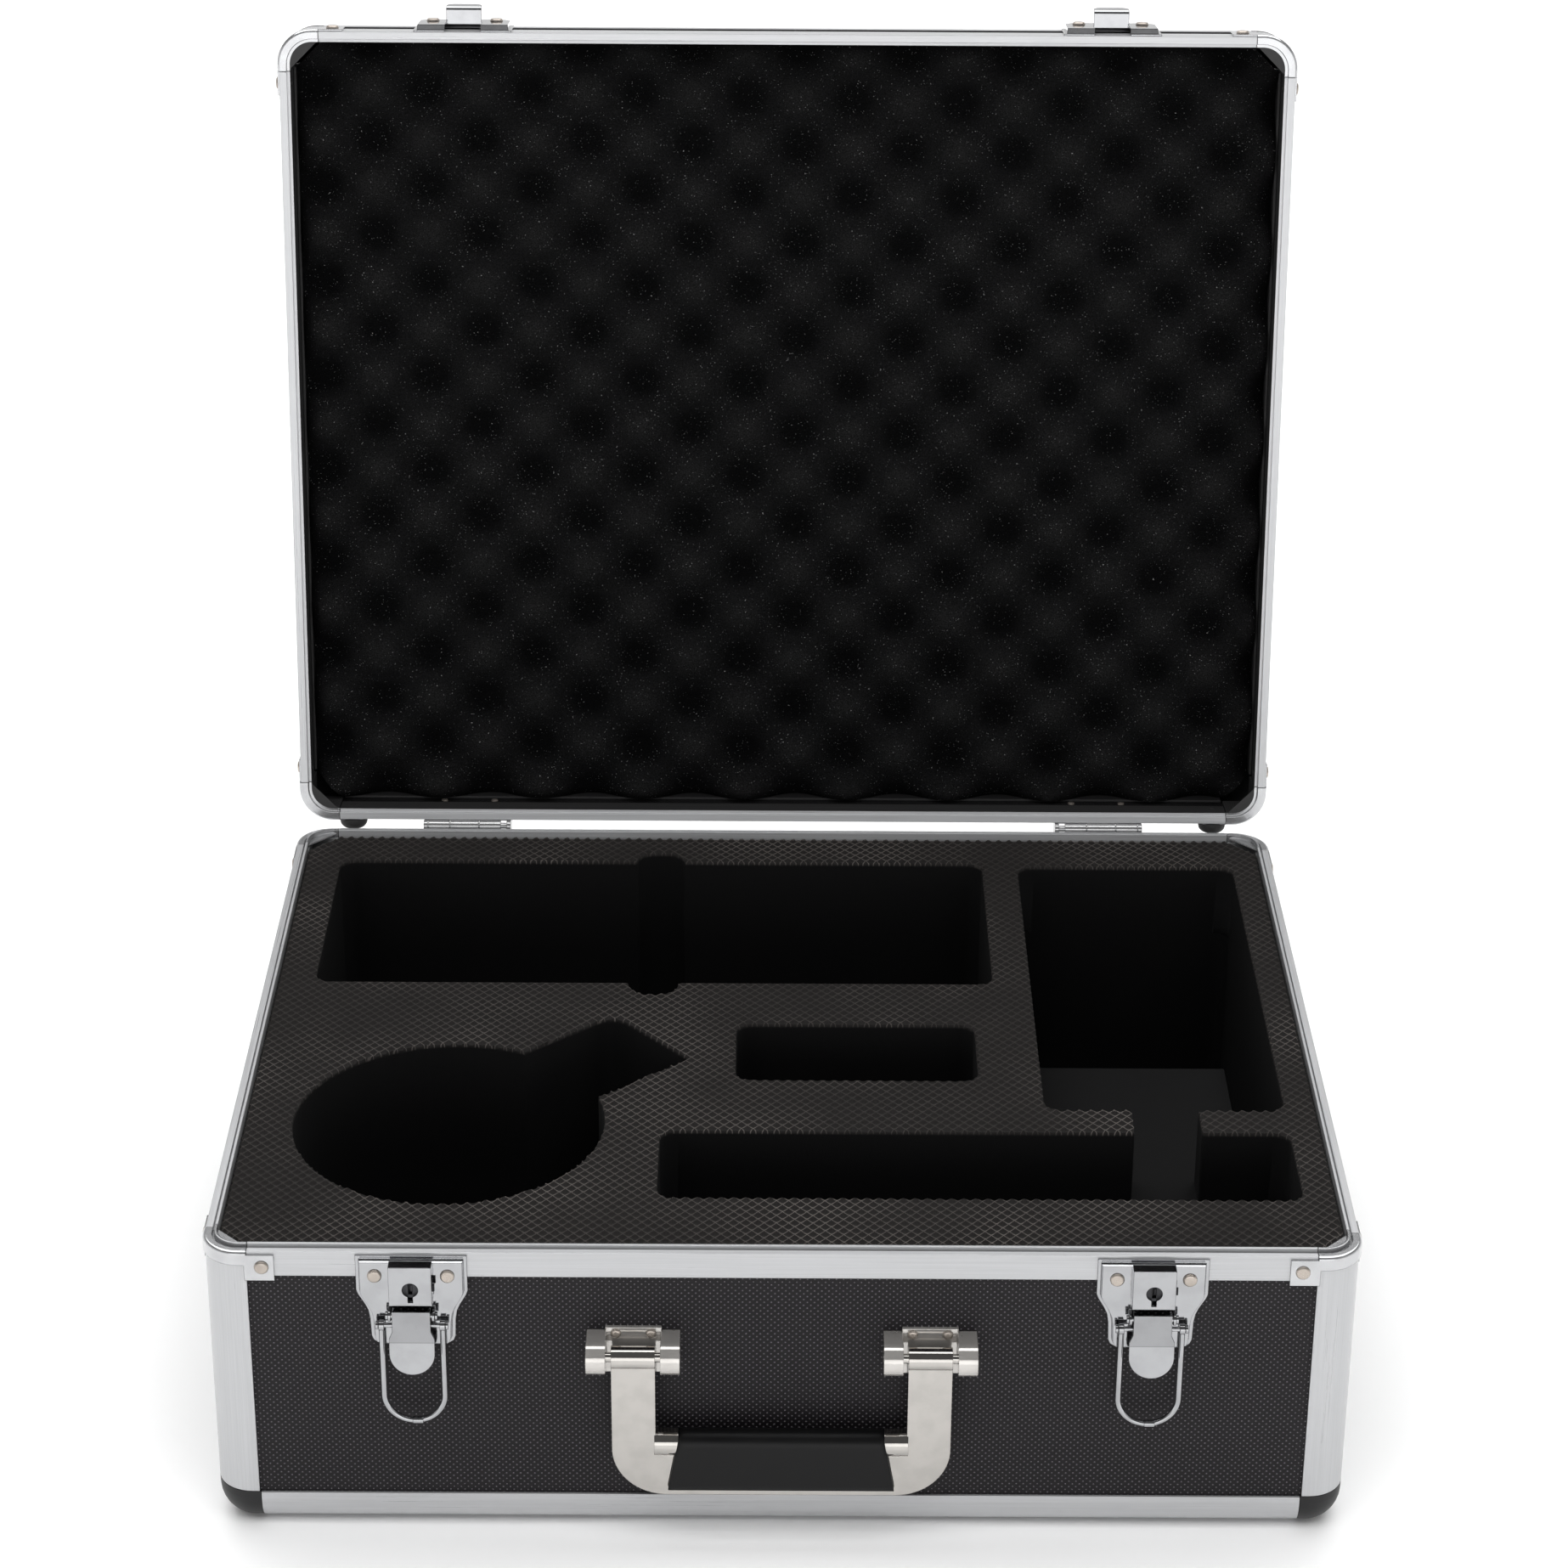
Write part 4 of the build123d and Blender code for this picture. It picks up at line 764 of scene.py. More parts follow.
def inside(points: np.ndarray, loop: np.ndarray) -> np.ndarray:
    """Whether points lie in a closed loop.

    A point lies inside where a ray to the right crosses the loop an odd number of times.

    Args:
        points: the points.
        loop: the loop's corners.

    Returns:
        One truth value for each point.
    """
    start, end = loop, np.roll(loop, -1, 0)
    boxed = np.flatnonzero(((points > loop.min(0)) & (points < loop.max(0))).all(1))
    result = np.zeros(len(points), bool)
    for some in np.array_split(boxed, len(boxed) // 4000 + 1):
        x, y = points[some, 0:1], points[some, 1:2]
        spans = (start[:, 1] > y) != (end[:, 1] > y)
        rise = np.where(end[:, 1] == start[:, 1], 1e-12, end[:, 1] - start[:, 1])
        cross = start[:, 0] + (y - start[:, 1]) * (end[:, 0] - start[:, 0]) / rise
        result[some] = (spans & (x < cross)).sum(1) % 2 == 1
    return result


def far_from(points: np.ndarray, loop: np.ndarray, room: float) -> np.ndarray:
    """Whether points keep some room from a loop's points.

    The plane is split into squares as wide as the room, and a point is near the loop where one of
    the loop's points lies in its square or in one beside it.

    Args:
        points: the points.
        loop: the loop's points.
        room: the width of the squares.

    Returns:
        One truth value for each point.
    """
    low = np.minimum(points.min(0), loop.min(0)) - 2 * room
    places, marks = ((part - low) // room for part in (points, loop))
    places, marks = places.astype(int), marks.astype(int)
    size = np.maximum(places.max(0), marks.max(0)) + 2
    taken = np.zeros(size, bool)
    for over in (-1, 0, 1):
        for up in (-1, 0, 1):
            taken[marks[:, 0] + over, marks[:, 1] + up] = True
    return ~taken[places[:, 0], places[:, 1]]


class Plan:
    """A flat drawing cut into triangles, whose outlines are shared by all of a block's levels."""

    def __init__(self, loops: Sequence[np.ndarray], fill: np.ndarray,
                 holed: bool = False) -> None:
        """Cut the drawing into triangles.

        Args:
            loops: all outlines.
            fill: further points between them.
            holed: whether only what lies inside the first outline and outside the others is kept.
        """
        points = np.concatenate([*loops, fill]) if len(fill) else np.concatenate(loops)
        edges, first = [], 0
        for loop in loops:
            ring = np.arange(len(loop)) + first
            edges.append(np.stack([ring, np.roll(ring, -1)], -1))
            first += len(loop)
        whole = [list(range(len(loops[0])))] if holed else []
        found = delaunay_2d_cdt([Vector(p) for p in points.tolist()],
                                np.concatenate(edges).tolist(), whole, 2 if holed else 0, 1e-5)
        self.points = np.array([tuple(p) for p in found[0]])
        faces = np.array([face for face in found[2] if len(face) == 3])
        one, two, three = (self.points[faces[:, k]] for k in range(3))
        turn = np.cross(two - one, three - one)
        faces[turn < 0] = faces[turn < 0][:, ::-1]
        self.faces = faces[abs(turn) > 1e-9]
        self.middles = self.points[self.faces].mean(1)

    def within(self, outer: np.ndarray, holes: Sequence[np.ndarray]) -> np.ndarray:
        """Triangles inside an outline and outside its holes.

        Args:
            outer: the outline.
            holes: outlines of what is cut out.

        Returns:
            The chosen triangles.
        """
        keep = inside(self.middles, outer)
        for hole in holes:
            keep &= ~inside(self.middles, hole)
        return self.faces[keep]

    def level(self, height: Any) -> np.ndarray:
        """The drawing's points at one height, or each at its own."""
        return np.column_stack([self.points, np.broadcast_to(height, len(self.points))])

    @staticmethod
    def border(faces: np.ndarray) -> np.ndarray:
        """Directed edges that only one of the triangles has."""
        edges = np.concatenate([faces[:, (0, 1)], faces[:, (1, 2)], faces[:, (2, 0)]])
        size = int(edges.max()) + 1
        forward = edges[:, 0] * size + edges[:, 1]
        backward = edges[:, 1] * size + edges[:, 0]
        return edges[~np.isin(forward, backward)]


class Block:
    """A closed block put together from levels and the walls between them."""

    def __init__(self) -> None:
        """Start with nothing."""
        self.points: list[np.ndarray] = []
        self.faces: list[np.ndarray] = []
        self.count = 0

    def add(self, points: np.ndarray, faces: np.ndarray) -> None:
        """Add triangles or quads and the points that they use."""
        used, place = np.unique(faces, return_inverse=True)
        self.points.append(points[used])
        self.faces.append(place.reshape(faces.shape) + self.count)
        self.count += len(used)

    def walls(self, edges: np.ndarray, levels: Sequence[np.ndarray]) -> None:
        """Quads down each directed edge.

        Args:
            edges: pairs of point numbers.
            levels: the points at each level, from the top down.
        """
        used, place = np.unique(edges, return_inverse=True)
        place = place.reshape(edges.shape)
        size = len(used)
        stack = np.concatenate([level[used] for level in levels])
        quads = [np.stack([place[:, 1] + k * size, place[:, 0] + k * size,
                           place[:, 0] + (k + 1) * size, place[:, 1] + (k + 1) * size], -1)
                 for k in range(len(levels) - 1)]
        self.add(stack, np.concatenate(quads))

    def piece(self, name: str, body: str, turn: Matrix | None = None,
              smooth: float = 40.0) -> bpy.types.Object:
        """Make the block a piece that rides on a body.

        Args:
            name: the piece's name.
            body: the body it moves with.
            turn: matrix to its place, where it isn't there already.
            smooth: angle in degrees under which neighbouring faces shade as one.

        Returns:
            The piece.
        """
        mesh = bpy.data.meshes.new(name)
        points = np.concatenate(self.points) * MM
        faces = [face for group in self.faces for face in group.tolist()]
        mesh.from_pydata(points.tolist(), [], faces)
        piece = linked(name, mesh)
        weld(mesh, 0.002 * MM)
        if turn is not None:
            mesh.transform(turn)
        mesh.shade_smooth()
        mesh.set_sharp_from_angle(angle=math.radians(smooth))
        mesh.validate()
        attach(piece, body)
        LOG.info("%s: %d faces", name, len(mesh.polygons))
        return piece


def weld(mesh: bpy.types.Mesh, distance: float) -> None:
    """Join points of a mesh that lie together.

    Args:
        mesh: the mesh.
        distance: how near they lie.
    """
    work = bmesh.new()
    work.from_mesh(mesh)
    bmesh.ops.remove_doubles(work, verts=work.verts, dist=distance)
    bmesh.ops.dissolve_degenerate(work, edges=work.edges, dist=distance / 10)
    work.to_mesh(mesh)
    work.free()


@dataclass
class FoamInsert:
    """The cut foam block in the base. Depths are counted back from the front wall's outside."""

    half_width: float = 224.6
    half_depth: float = 181.1
    corner_cut: float = 13.2
    front: float = -186.5
    low: float = 15.4
    top: float = 132.3
    shelf: float = 97.0
    step: float = 0.98
    pitch_x: float = 4.9
    pitch_y: float = 5.65
    relief: float = 1.25
    sag: float = 0.25
    notch: float = 0.65
    lip: float = 1.2
    hem: float = 3.0
    cut_round: float = 7.0
    round_x: float = -139.5
    round_front: float = 104.0
    round_radius: float = 65.0
    neck_half: float = 25.2
    neck_reach: float = 110.0
    neck_angle: float = 41.5
    neck_round: float = 9.0
    neck_tip_round: float = 2.0
    slot_x: tuple[float, float] = (-208.0, 93.5)
    slot_y: tuple[float, float] = (225.0, 343.0)
    notch_x: tuple[float, float] = (-68.5, -46.5)
    notch_y: tuple[float, float] = (214.5, 352.0)
    notch_straight: float = 0.1
    small_x: tuple[float, float] = (-20.0, 83.5)
    small_y: tuple[float, float] = (140.0, 188.0)
    narrow_x: tuple[float, float] = (-51.0, 211.5)
    narrow_y: tuple[float, float] = (45.0, 97.5)
    deep_x: tuple[float, float] = (110.5, 211.5)
    deep_y: tuple[float, float] = (116.0, 340.0)
    channel_x: tuple[float, float] = (147.0, 175.0)
    channel_round: float = 1.0
    shelf_right: float = 197.0
    shelf_back: float = 211.0
    circle_points: int = 220
    dip_power: float = 0.7
    slow_x: float = 61.0
    slow_y: float = 47.0
    beside: float = 0.17
    coarse: float = 20.0
    clear: float = 0.45
    lip_share: float = 0.4
    smooth: float = 50.0

    def outline(self, step: float) -> np.ndarray:
        """The block's own outline, with points that far apart."""
        return cut_corners(self.half_width, self.half_depth, self.corner_cut, 3, step)

    def cut(self, corners: Sequence[tuple[float, float, float]]) -> np.ndarray:
        """Outline of a cut-out whose corners are given from the front wall's outside."""
        return rounded_loop([(x, y + self.front, r) for x, y, r in corners], self.step)

    def box(self, x: tuple[float, float],
            y: tuple[float, float]) -> list[tuple[float, float, float]]:
        """Corners of a box between two widths and two depths, from its front left one on."""
        places = ((x[0], y[0]), (x[1], y[0]), (x[1], y[1]), (x[0], y[1]))
        return [(*place, self.cut_round) for place in places]

    def round_cut(self) -> np.ndarray:
        """Outline of the round cut-out with its slanted neck.

        The circle runs from one side of the neck round to the other, and the neck ends in two
        rounded corners.
        """
        centre = np.array([self.round_x, self.round_front + self.front])
        lean = math.radians(self.neck_angle)
        along = np.array([math.cos(lean), math.sin(lean)])
        aside = np.array([-along[1], along[0]])
        opening = math.asin(self.neck_half / self.round_radius)
        angles = np.linspace(lean + opening, lean - opening + 2 * math.pi,
                             self.circle_points)
        circle = centre + self.round_radius * np.stack([np.cos(angles), np.sin(angles)], -1)
        far_right = centre + along * self.neck_reach - aside * self.neck_half
        far_left = centre + along * self.neck_reach + aside * self.neck_half
        right = corner_run(circle[-1], far_right, far_left, self.neck_tip_round)
        left = corner_run(far_right, far_left, circle[0], self.neck_round)
        return evenly(np.concatenate([circle, right, left]), self.step)

    def loops(self) -> tuple[list[np.ndarray], list[np.ndarray]]:
        """Outlines of the cut-outs above the shelf, and of those below it."""
        r, bend = self.cut_round, self.channel_round
        (notch_left, notch_right), (notch_front, notch_back) = self.notch_x, self.notch_y
        (slot_front, slot_back), (left, right) = self.slot_y, self.channel_x
        front_round = slot_front - notch_front - self.notch_straight
        back_round = notch_back - slot_back - self.notch_straight
        long, thin, wide = (self.box(x, y) for x, y in (
            (self.slot_x, self.slot_y), (self.narrow_x, self.narrow_y), (self.deep_x, self.deep_y)))
        front_notch = [(notch_left, slot_front, 0), (notch_left, notch_front, front_round),
                       (notch_right, notch_front, front_round), (notch_right, slot_front, 0)]
        back_notch = [(notch_right, slot_back, 0), (notch_right, notch_back, back_round),
                      (notch_left, notch_back, back_round), (notch_left, slot_back, 0)]
        slot = self.cut([long[0], *front_notch, *long[1:3], *back_notch, long[3]])
        small = self.cut(self.box(self.small_x, self.small_y))
        front, open_to = self.deep_y[0], self.narrow_y[1]
        joined = self.cut([*thin[:3], (right, open_to, bend), (right, front, bend), *wide[1:],
                           wide[0], (left, front, bend), (left, open_to, bend), thin[3]])
        narrow = self.cut(thin)
        deep = self.cut([(self.shelf_right, front, r), *wide[1:],
                         (self.deep_x[0], self.shelf_back, r),
                         (self.shelf_right, self.shelf_back, 0)])
        both = [slot, small, self.round_cut()]
        return [*both, joined], [*both, narrow, deep]

    def height(self, points: np.ndarray) -> np.ndarray:
        """Height of the pressed mesh.

        It dips by the product of the sines of the two diagonals' places in a cell, to the dip's
        power, and not at all where a ridge runs. The whole top lies lower by the sag, and slow
        sines vary that by half of it.
        """
        rise = points[:, 0] / self.pitch_x + points[:, 1] / self.pitch_y
        fall = points[:, 0] / self.pitch_x - points[:, 1] / self.pitch_y
        dip = np.abs(np.sin(np.pi * rise) * np.sin(np.pi * fall)) ** self.dip_power
        slow = 0.5 * np.sin(points[:, 0] / self.slow_x + 1) * np.sin(points[:, 1] / self.slow_y)
        return self.top - self.relief * dip - self.sag + self.sag * slow

    def scallops(self, points: np.ndarray, edges: np.ndarray) -> np.ndarray:
        """Moves that notch the cut edges where a cell of the mesh was cut open.

        Each point moves into the foam, square to the edge, by how deep its cell dips there.

        Args:
            points: the plan's points.
            edges: the directed edges of the cut, with the foam on their left.

        Returns:
            A move for every point, nothing away from the edges.
        """
        along = points[edges[:, 1]] - points[edges[:, 0]]
        inward = np.stack([-along[:, 1], along[:, 0]], -1)
        total = np.zeros_like(points)
        np.add.at(total, edges[:, 0], inward)
        np.add.at(total, edges[:, 1], inward)
        size = np.maximum(np.linalg.norm(total, axis=1, keepdims=True), 1e-9)
        dip = (self.top - self.height(points))[:, None]
        return total / size * self.notch * np.clip(dip / self.relief, 0, 1)

    def lattice(self) -> np.ndarray:
        """Points on the mesh's ridges, beside them and in the middle of each cell."""
        reach = int(2 * self.half_width / self.pitch_x) + 2
        marks = np.array([0, self.beside, 0.5, 1 - self.beside])
        steps = (np.arange(-reach, reach)[:, None] + marks).ravel()
        rise, fall = np.meshgrid(steps, steps)
        points = np.stack([self.pitch_x * (rise + fall) / 2, self.pitch_y * (rise - fall) / 2],
                          -1).reshape(-1, 2)
        room = (np.abs(points[:, 0]) < self.half_width) & (np.abs(points[:, 1]) < self.half_depth)
        return points[room]

    def build(self) -> bpy.types.Object:
        """Build the block: a pressed top, cut walls, the shelf and a flat underside.

        Returns:
            The piece.
        """
        outer = self.outline(self.step)
        upper, lower = self.loops()
        fill = self.lattice()
        fill = fill[inside(fill, self.outline(self.coarse))]
        fill = fill[far_from(fill, np.concatenate([outer, *upper]), self.clear)]
        fine = Plan([outer, *upper], fill, holed=True)
        plain = Plan([outer, *upper, *lower[3:]], np.zeros((0, 2)))
        block = Block()
        top_faces = fine.faces
        edges = fine.border(top_faces)
        level = [fine.level(z) for z in (self.shelf, self.top - self.hem, self.top - self.lip)]
        head = fine.level(self.height(fine.points))
        rim = np.unique(edges)
        shift = self.scallops(fine.points, edges)[rim]
        head[rim, :2] += shift
        level[2][rim, :2] += self.lip_share * shift
        block.add(head, top_faces)
        block.walls(edges, [head, level[2], level[1], level[0]])
        base, ledge = plain.level(self.low), plain.level(self.shelf)
        bottom_faces = plain.within(outer, lower)
        block.add(ledge, plain.within(upper[-1], lower[3:]))
        block.add(base, bottom_faces[:, ::-1])
        block.walls(plain.border(bottom_faces), [ledge, base])
        return block.piece("foam_block", "case", smooth=self.smooth)


@dataclass
class FloorPad:
    """The flat foam pad under the insert."""

    half_width: float = 224.2
    half_depth: float = 180.7
    corner_cut: float = 12.6
    low: float = 5.6
    top: float = 14.9
    wave: float = 0.1
    wave_x: float = 23.0
    wave_y: float = 19.0
    drop: float = 0.5
    step: float = 7.0
    rows_from: float = 4.0
    rows_to: float = 3.0
    filled: float = 0.985

    def build(self) -> bpy.types.Object:
        """Build the pad, its top a little uneven.

        The top rises and falls by the wave with the sines of both directions, and its edge lies
        lower by the drop.

        Returns:
            The piece.
        """
        x, y = self.half_width, self.half_depth
        outer = cut_corners(x, y, self.corner_cut, 3, self.step)
        axis_x, axis_y = (np.arange(-half + self.rows_from, half - self.rows_to, self.step)
                          for half in (x, y))
        fill = np.stack(np.meshgrid(axis_x, axis_y), -1).reshape(-1, 2)
        fill = fill[inside(fill, outer * self.filled)]
        plan = Plan([outer], fill)
        faces = plan.within(outer, [])
        edges = plan.border(faces)
        waves = (np.sin(plan.points[:, 0] / self.wave_x)
                 * np.sin(plan.points[:, 1] / self.wave_y))
        head = plan.level(self.top - self.wave + self.wave * waves)
        head[np.unique(edges), 2] -= self.drop
        foot = plan.level(self.low)
        block = Block()
        block.add(head, faces)
        block.walls(edges, [head, foot])
        block.add(foot, faces[:, ::-1])
        return block.piece("foam_base_pad", "case")


@dataclass
class EggCrate:
    """The egg-crate foam in the lid, drawn on the shut lid and then turned to the open one."""

    half_width: float = 224.4
    half_depth: float = 180.9
    corner_cut: float = 12.8
    back: float = 166.4
    crest: float = 146.6
    trough: float = 158.4
    pitch_x: float = 49.0
    pitch_y: float = 22.35
    crest_x: float = 5.7
    crest_y: float = -156.0
    fall: float = 3.2
    fall_reach: float = 3.0
    lump: float = 0.25
    lump_x: tuple[float, float] = (17.0, 41.0)
    lump_y: tuple[float, float] = (29.0, 13.0)
    slope: float = 0.011
    slope_x: float = 40.0
    sway: float = 1.5
    sway_x: float = 83.0
    weave: float = 1.2
    weave_y: float = 57.0
    step: float = 2.6
    rows_from: float = 1.6
    rows_to: float = 0.8
    pinch: float = 0.9985
    smooth: float = 80.0

    def face(self, points: np.ndarray) -> np.ndarray:
        """Height of the foam's face.

        Crests stand where the product of a cosine across and a cosine along is 1, and hollows
        where it is -1. The rows lean and wander a little, slow sines make lumps, and the face
        bends back near the edges, by an exponential of the distance from the edge.
        """
        x, y = points[:, 0], points[:, 1]
        lean = y - self.slope * (x + self.slope_x) - self.sway * np.sin(x / self.sway_x)
        weave = self.weave * np.sin(y / self.weave_y)
        across = np.cos(2 * np.pi * (x + weave - self.crest_x) / self.pitch_x)
        along = np.cos(np.pi * (lean - self.crest_y) / self.pitch_y)
        wave = 0.5 + 0.5 * across * along
        edge = np.minimum(self.half_width - np.abs(x), self.half_depth - np.abs(y))
        fall = self.fall * np.exp(-np.clip(edge, 0, None) / self.fall_reach)
        lumps = (self.lump * np.sin(x / self.lump_x[0] + y / self.lump_y[0])
                 * np.sin(y / self.lump_y[1] - x / self.lump_x[1]))
        return self.trough + (self.crest - self.trough) * wave + fall + lumps

    def build(self) -> bpy.types.Object:
        """Build the sheet of foam: its face, its edges and its flat back.

        Returns:
            The piece.
        """
        x, y = self.half_width, self.half_depth
        outer = cut_corners(x, y, self.corner_cut, 4, self.step)
        axis_x, axis_y = (np.arange(-half + self.rows_from, half - self.rows_to, self.step)
                          for half in (x, y))
        fill = np.stack(np.meshgrid(axis_x, axis_y), -1).reshape(-1, 2)
        fill = fill[inside(fill, outer)]
        fill = fill[far_from(fill, outer, 1.0)]
        plan = Plan([outer], fill)
        faces = plan.within(outer, [])
        edges = plan.border(faces)
        head, back = plan.level(self.face(plan.points)), plan.level(self.back)
        middle = head * 0.5 + back * 0.5
        middle[np.unique(edges), :2] *= self.pinch
        block = Block()
        block.add(head, faces[:, ::-1])
        block.walls(edges[:, ::-1], [head, middle, back])
        block.add(back, faces)
        return block.piece("egg_crate_sheet", "lid", LidTurn().opened(),
                           smooth=self.smooth)


@dataclass(frozen=True)
class SoftBox:
    """One soft light: where it hangs, the point it faces, its width and height and its watts."""

    name: str
    place: tuple[float, float, float]
    aim: tuple[float, float, float]
    size: tuple[float, float]
    power: float
    seen: bool = True
    spread: float = 180.0

    def hang(self) -> None:
        """Add the light. Bright metal mirrors it only where it is seen."""
        data = bpy.data.lights.new(self.name, "AREA")
        data.shape, (data.size, data.size_y), data.energy = "RECTANGLE", self.size, self.power
        data.spread = math.radians(self.spread)
        lamp = linked(self.name, data)
        lamp.visible_glossy = self.seen
        lamp.location = self.place
        toward = Vector(self.aim) - Vector(self.place)
        lamp.rotation_euler = toward.to_track_quat("-Z", "Y").to_euler()


@dataclass
class Studio:
    """Camera, pale floor and soft lights."""

    focal_pixels: float = 4733.7
    picture: float = 1846.0
    sensor: float = 36.0
    clip: tuple[float, float] = (0.05, 50.0)
    place: tuple[float, float, float] = (-0.00440, -1.53226, 0.99591)
    yaw: float = 0.160
    pitch: float = 25.982
    roll: float = -0.384
    room_low: float = 0.80
    room_high: float = 0.12
    room_fall: tuple[float, float] = (0.20, 0.48)
    floor_half: float = 6.0
    floor_squares: int = 12
    floor_level: float = -0.4 * MM
    floor_tints: tuple[float, float] = (0.93, 0.95)
    floor_rough: float = 0.9
    boxes: tuple[SoftBox, ...] = (
        SoftBox("over_box", (0.0, 1.2, 2.3), (0, 1.0, 0.0), (3.4, 3.0), 83),
        SoftBox("front_box", (0.0, -2.9, 0.65), (0, 0, 0.35), (3.6, 1.3), 17),
        SoftBox("fill_box", (0.0, -1.4, 2.2), (0, -0.6, 0.0), (3.2, 1.4), 48, False),
        SoftBox("back_box", (0.0, 3.9, 2.2), (0, 4.2, 0.0), (5.0, 2.6), 75, False),
        SoftBox("left_floor_box", (-4.6, 0.0, 2.6), (-4.6, 0.0, 0.0), (4.0, 11.0), 264, False, 70),
        SoftBox("right_floor_box", (4.6, 0.0, 2.6), (4.6, 0.0, 0.0), (4.0, 11.0), 264, False, 70),
        SoftBox("near_floor_box", (0.0, -4.8, 2.6), (0.0, -4.8, 0.0), (5.0, 3.6), 108, False, 70))

    def camera(self) -> None:
        """Set up the camera.

        It looks along the direction of its yaw and pitch, and the roll turns its right and down
        directions about that.
        """
        yaw, pitch, roll = (math.radians(angle) for angle in (self.yaw, self.pitch, self.roll))
        ahead = Vector((math.sin(yaw) * math.cos(pitch), math.cos(yaw) * math.cos(pitch),
                        -math.sin(pitch)))
        level = Vector((math.cos(yaw), -math.sin(yaw), 0))
        down = ahead.cross(level)
        right = math.cos(roll) * level + math.sin(roll) * down
        below = math.cos(roll) * down - math.sin(roll) * level
        data = bpy.data.cameras.new("studio_camera")
        data.lens = self.focal_pixels * self.sensor / self.picture
        data.sensor_width = self.sensor
        data.dof.use_dof = False
        data.clip_start, data.clip_end = self.clip
        camera = linked("studio_camera", data)
        turn = Matrix((right, -below, -ahead)).transposed().to_4x4()
        camera.matrix_world = Matrix.Translation(self.place) @ turn
        bpy.context.scene.camera = camera

    def floor(self) -> None:
        """Lay a pale floor that reaches past the picture."""
        mesh = bpy.data.meshes.new("studio_floor")
        squares, row = self.floor_squares, self.floor_squares + 1
        across = np.linspace(-self.floor_half, self.floor_half, row)
        x, y = (part.ravel() for part in np.meshgrid(across, across))
        corner = (np.arange(squares)[:, None] * row + np.arange(squares)).ravel()
        faces = np.stack([corner, corner + 1, corner + row + 1, corner + row], -1)
        points = np.stack([x, y, np.full(len(x), self.floor_level)], -1)
        mesh.from_pydata(points.tolist(), [], faces.tolist())
        floor = linked("studio_floor", mesh)
        shade = Shade("studio_floor_white")
        cloud = shade.noise(shade.place(), 3)
        colour = shade.mix(cloud, *((tint,) * 3 for tint in self.floor_tints))
        mesh.materials.append(shade.finish(Base_Color=colour, Roughness=self.floor_rough))

    def room(self) -> None:
        """Light the room softly: pale near the ground and dim above.

        The brightness falls smoothly with the height of the direction.
        """
        world = bpy.data.worlds.new("studio_room")
        world.use_nodes = True
        tree = world.node_tree
        where = tree.nodes.new("ShaderNodeTexCoord")
        split = tree.nodes.new("ShaderNodeSeparateXYZ")
        rise = tree.nodes.new("ShaderNodeMapRange")
        for name, value in (("From Min", self.room_fall[0]), ("From Max", self.room_fall[1]),
                            ("To Min", self.room_low), ("To Max", self.room_high)):
            rise.inputs[name].default_value = value
        tree.links.new(where.outputs["Generated"], split.inputs[0])
        tree.links.new(split.outputs["Z"], rise.inputs["Value"])
        tree.links.new(rise.outputs["Result"], tree.nodes["Background"].inputs["Strength"])
        tree.nodes["Background"].inputs["Color"].default_value = (1.0, 1.0, 1.0, 1.0)
        bpy.context.scene.world = world

    def build(self) -> None:
        """Set up the whole studio."""
        self.camera()
        self.floor()
        self.room()
        for box in self.boxes:
            box.hang()
        bpy.context.scene.view_settings.view_transform = "Standard"
        LOG.info("studio with camera, floor and %d soft boxes", len(self.boxes))


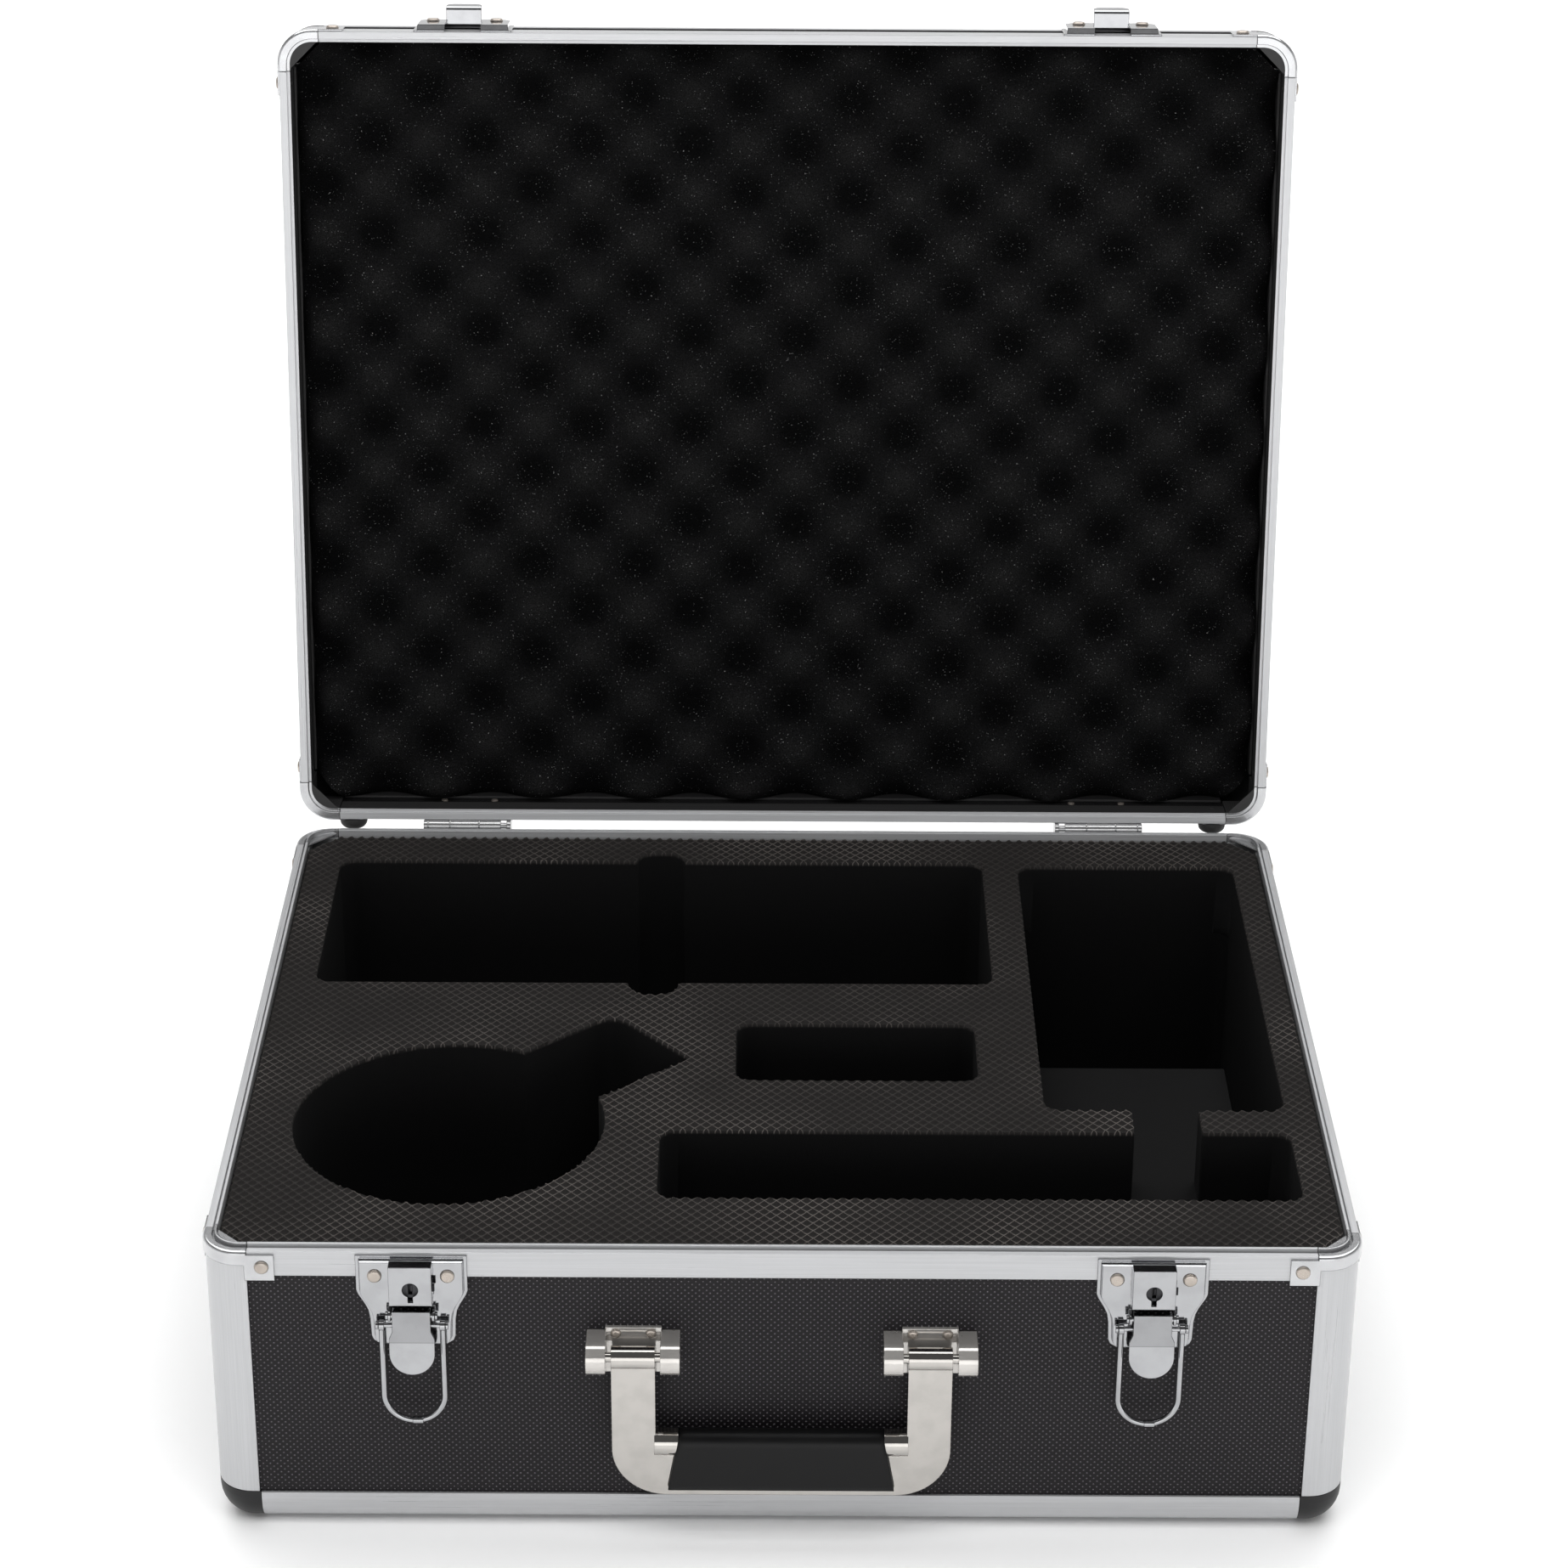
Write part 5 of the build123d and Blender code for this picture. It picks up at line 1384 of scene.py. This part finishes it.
@dataclass
class Shell:
    """Panels, profiles, caps and rim brackets of the base and the lid.

    The sizes count from the middle of the case. The side profiles start at side_from, the
    near-black paint inside the lid lies within half a width and half a depth, and inner is where
    the walls' inner faces are.
    """

    side_from: float = 0.2118
    # where the lid is painted near-black inside; the edge profiles' rectangle is a little larger
    blackened_within: tuple[float, float] = (0.2252, 0.1817)
    edge_blackened_within: tuple[float, float] = (0.2263, 0.1828)
    inner: tuple[float, float] = (0.2280, 0.1845)
    laminate: Laminate = Laminate()
    aluminium: DrawnMetal = DrawnMetal()
    chrome: PlatedMetal = PlatedMetal((0.52, 0.524, 0.535), 0.15, bare=0.8, edge=0.5 * MM)
    rivet: PlatedMetal = PlatedMetal((0.46, 0.41, 0.365), 0.28, 0.03 * MM, 0.2, bare=0.8,
                                      edge=0.8 * MM)
    plastic: MouldedBlack = MouldedBlack((0.0105, 0.0105, 0.011), 0.45)
    rubber: MouldedBlack = MouldedBlack((0.018, 0.018, 0.018), 0.60)

    def dress(self, frame: dict[str, Any]) -> None:
        """Give every piece of the two trays its finish.
        """
        laminate, metal = self.laminate.make, self.aluminium.make
        for tray, turn, flat, low in (("base", None, "floor_panel", "bottom_edges"),
                                      ("lid", LidTurn().shut(), "top_panel", "top_edges")):
            blackened_within, edge_blackened_within = (self.blackened_within, self.edge_blackened_within) if tray == "lid" else (None, None)
            made = tray + "_laminate_", tray + "_aluminium_"
            for material, names in (
                    (laminate(made[0] + "front", Wall.FRONT, turn, self.inner[1]),
                     ("front_panel", "back_panel")),
                    (laminate(made[0] + "side", Wall.SIDE, turn, self.inner[0]),
                     ("side_panels",)),
                    (laminate(made[0] + "flat", Wall.FLAT, turn), (flat,)),
                    (metal(made[1] + "along", Grain.ALONG_X, turn, None, blackened_within),
                     ("rim_front", "rim_back")),
                    (metal(made[1] + "back", Grain.ALONG_Y, turn, None, blackened_within), ("rim_sides",)),
                    (metal(made[1] + "upright", Grain.ALONG_Z, turn, None, blackened_within),
                     ("corner_posts",)),
                    (metal(made[1] + "round", Grain.ALONG_X, turn, self.side_from, edge_blackened_within),
                     (low,))):
                dress(frame, material, *(f"{tray}_{name}" for name in names))
        dress(frame, self.chrome.make("bracket_chrome"), "base_rim_corners")
        dress(frame, self.chrome.make("bracket_chrome_lid", blackened_within=self.blackened_within),
              "lid_rim_corners")
        dress(frame, self.rivet.make("rivet_nickel"), "base_rim_rivets", "lid_rim_rivets",
              "latch_rivets", "catch_rivets", "hinge_base_rivets", "hinge_lid_rivets",
              "handle_rivets")
        dress(frame, self.plastic.make("cap_plastic"), "base_corner_caps", "lid_corner_caps")
        dress(frame, self.rubber.make("foot_rubber"), "base_feet", "lid_feet")


@dataclass
class Fittings:
    """Latches, catches, hinges and the handle."""

    chrome: PlatedMetal = PlatedMetal((0.41, 0.414, 0.426), 0.09, edge=0.5 * MM, line=0.85)
    nickel: PlatedMetal = PlatedMetal((0.50, 0.48, 0.455), 0.06, 0.02 * MM,
                                      edge=0.5 * MM, line=0.30)
    lug: PlatedMetal = PlatedMetal((0.56, 0.54, 0.515), 0.10, 0.02 * MM, bare=0.72,
                                   edge=0.5 * MM, line=0.45)
    hinge: PlatedMetal = PlatedMetal((0.56, 0.56, 0.565), 0.16, bare=0.85, line=0.9)
    lock: PlatedMetal = PlatedMetal((0.06, 0.06, 0.064), 0.45, 0.02 * MM, 0.4)
    grip: MouldedBlack = MouldedBlack((0.0029, 0.0029, 0.0031), 0.36, 0.012 * MM, 900.0, 0.20,
                                      3.5 * MM)
    lever_fold: float = 0.0970

    def dress(self, frame: dict[str, Any]) -> None:
        """Give every fitting its finish.
        """
        kinds = ("latch_plate_", "lock_box_", "latch_bail_", "lever_pin_", "bail_pin_", "catch_")
        latch = [kind + side for kind in kinds for side in ("left", "right")]
        dress(frame, self.chrome.make("latch_chrome"), *latch)
        dress(frame, self.chrome.make("lever_chrome", self.lever_fold), "latch_lever_left",
              "latch_lever_right")
        dress(frame, self.lock.make("lock_steel"), "lock_plug_left", "lock_plug_right")
        dress(frame, self.nickel.make("handle_nickel"), "handle_frame", "handle_pins")
        dress(frame, self.lug.make("bracket_nickel"), "handle_bracket_left",
              "handle_bracket_right")
        dress(frame, self.grip.make("grip_black"), "handle_grip")
        leaves = [f"hinge_{tray}_leaf_{side}" for tray in ("base", "lid")
                  for side in ("left", "right")]
        dress(frame, self.hinge.make("hinge_steel"), *leaves, "hinge_pins")


@dataclass
class Padding:
    """All foam of the case."""

    def build(self, frame: dict[str, Any]) -> None:
        """Build the foam pieces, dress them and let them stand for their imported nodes.
        """
        insert = FoamInsert()
        mesh_foam = MeshFoam(insert.pitch_x * MM, insert.pitch_y * MM, insert.top * MM)
        crate = EggCrate()
        crate_foam = OpenFoam(crest=crate.crest * MM, hollow=crate.trough * MM)
        made = ((insert.build(), mesh_foam.make("insert_foam_mesh"), "insert_foam", "foam_insert"),
                (FloorPad().build(), OpenFoam().make("pad_foam_black"), "insert_foam",
                 "foam_floor_pad"),
                (crate.build(), crate_foam.make("lid_foam_black", LidTurn().shut()), "lid_foam",
                 "egg_crate_foam"))
        for piece, material, slot, node in made:
            piece.data.materials.append(material)
            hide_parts(node)
            LOG.info("%s stands for %s", piece.name, node)


def clear_start() -> None:
    """Remove what Blender's own start file holds."""
    for thing in list(bpy.data.objects):
        bpy.data.objects.remove(thing)


def main() -> None:
    """Build the studio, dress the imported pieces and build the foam."""
    logging.basicConfig(level=logging.INFO, format="%(name)s: %(message)s")
    clear_start()
    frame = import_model()
    Shell().dress(frame)
    Fittings().dress(frame)
    Padding().build(frame)
    Studio().build()


if __name__ == "__main__":
    main()
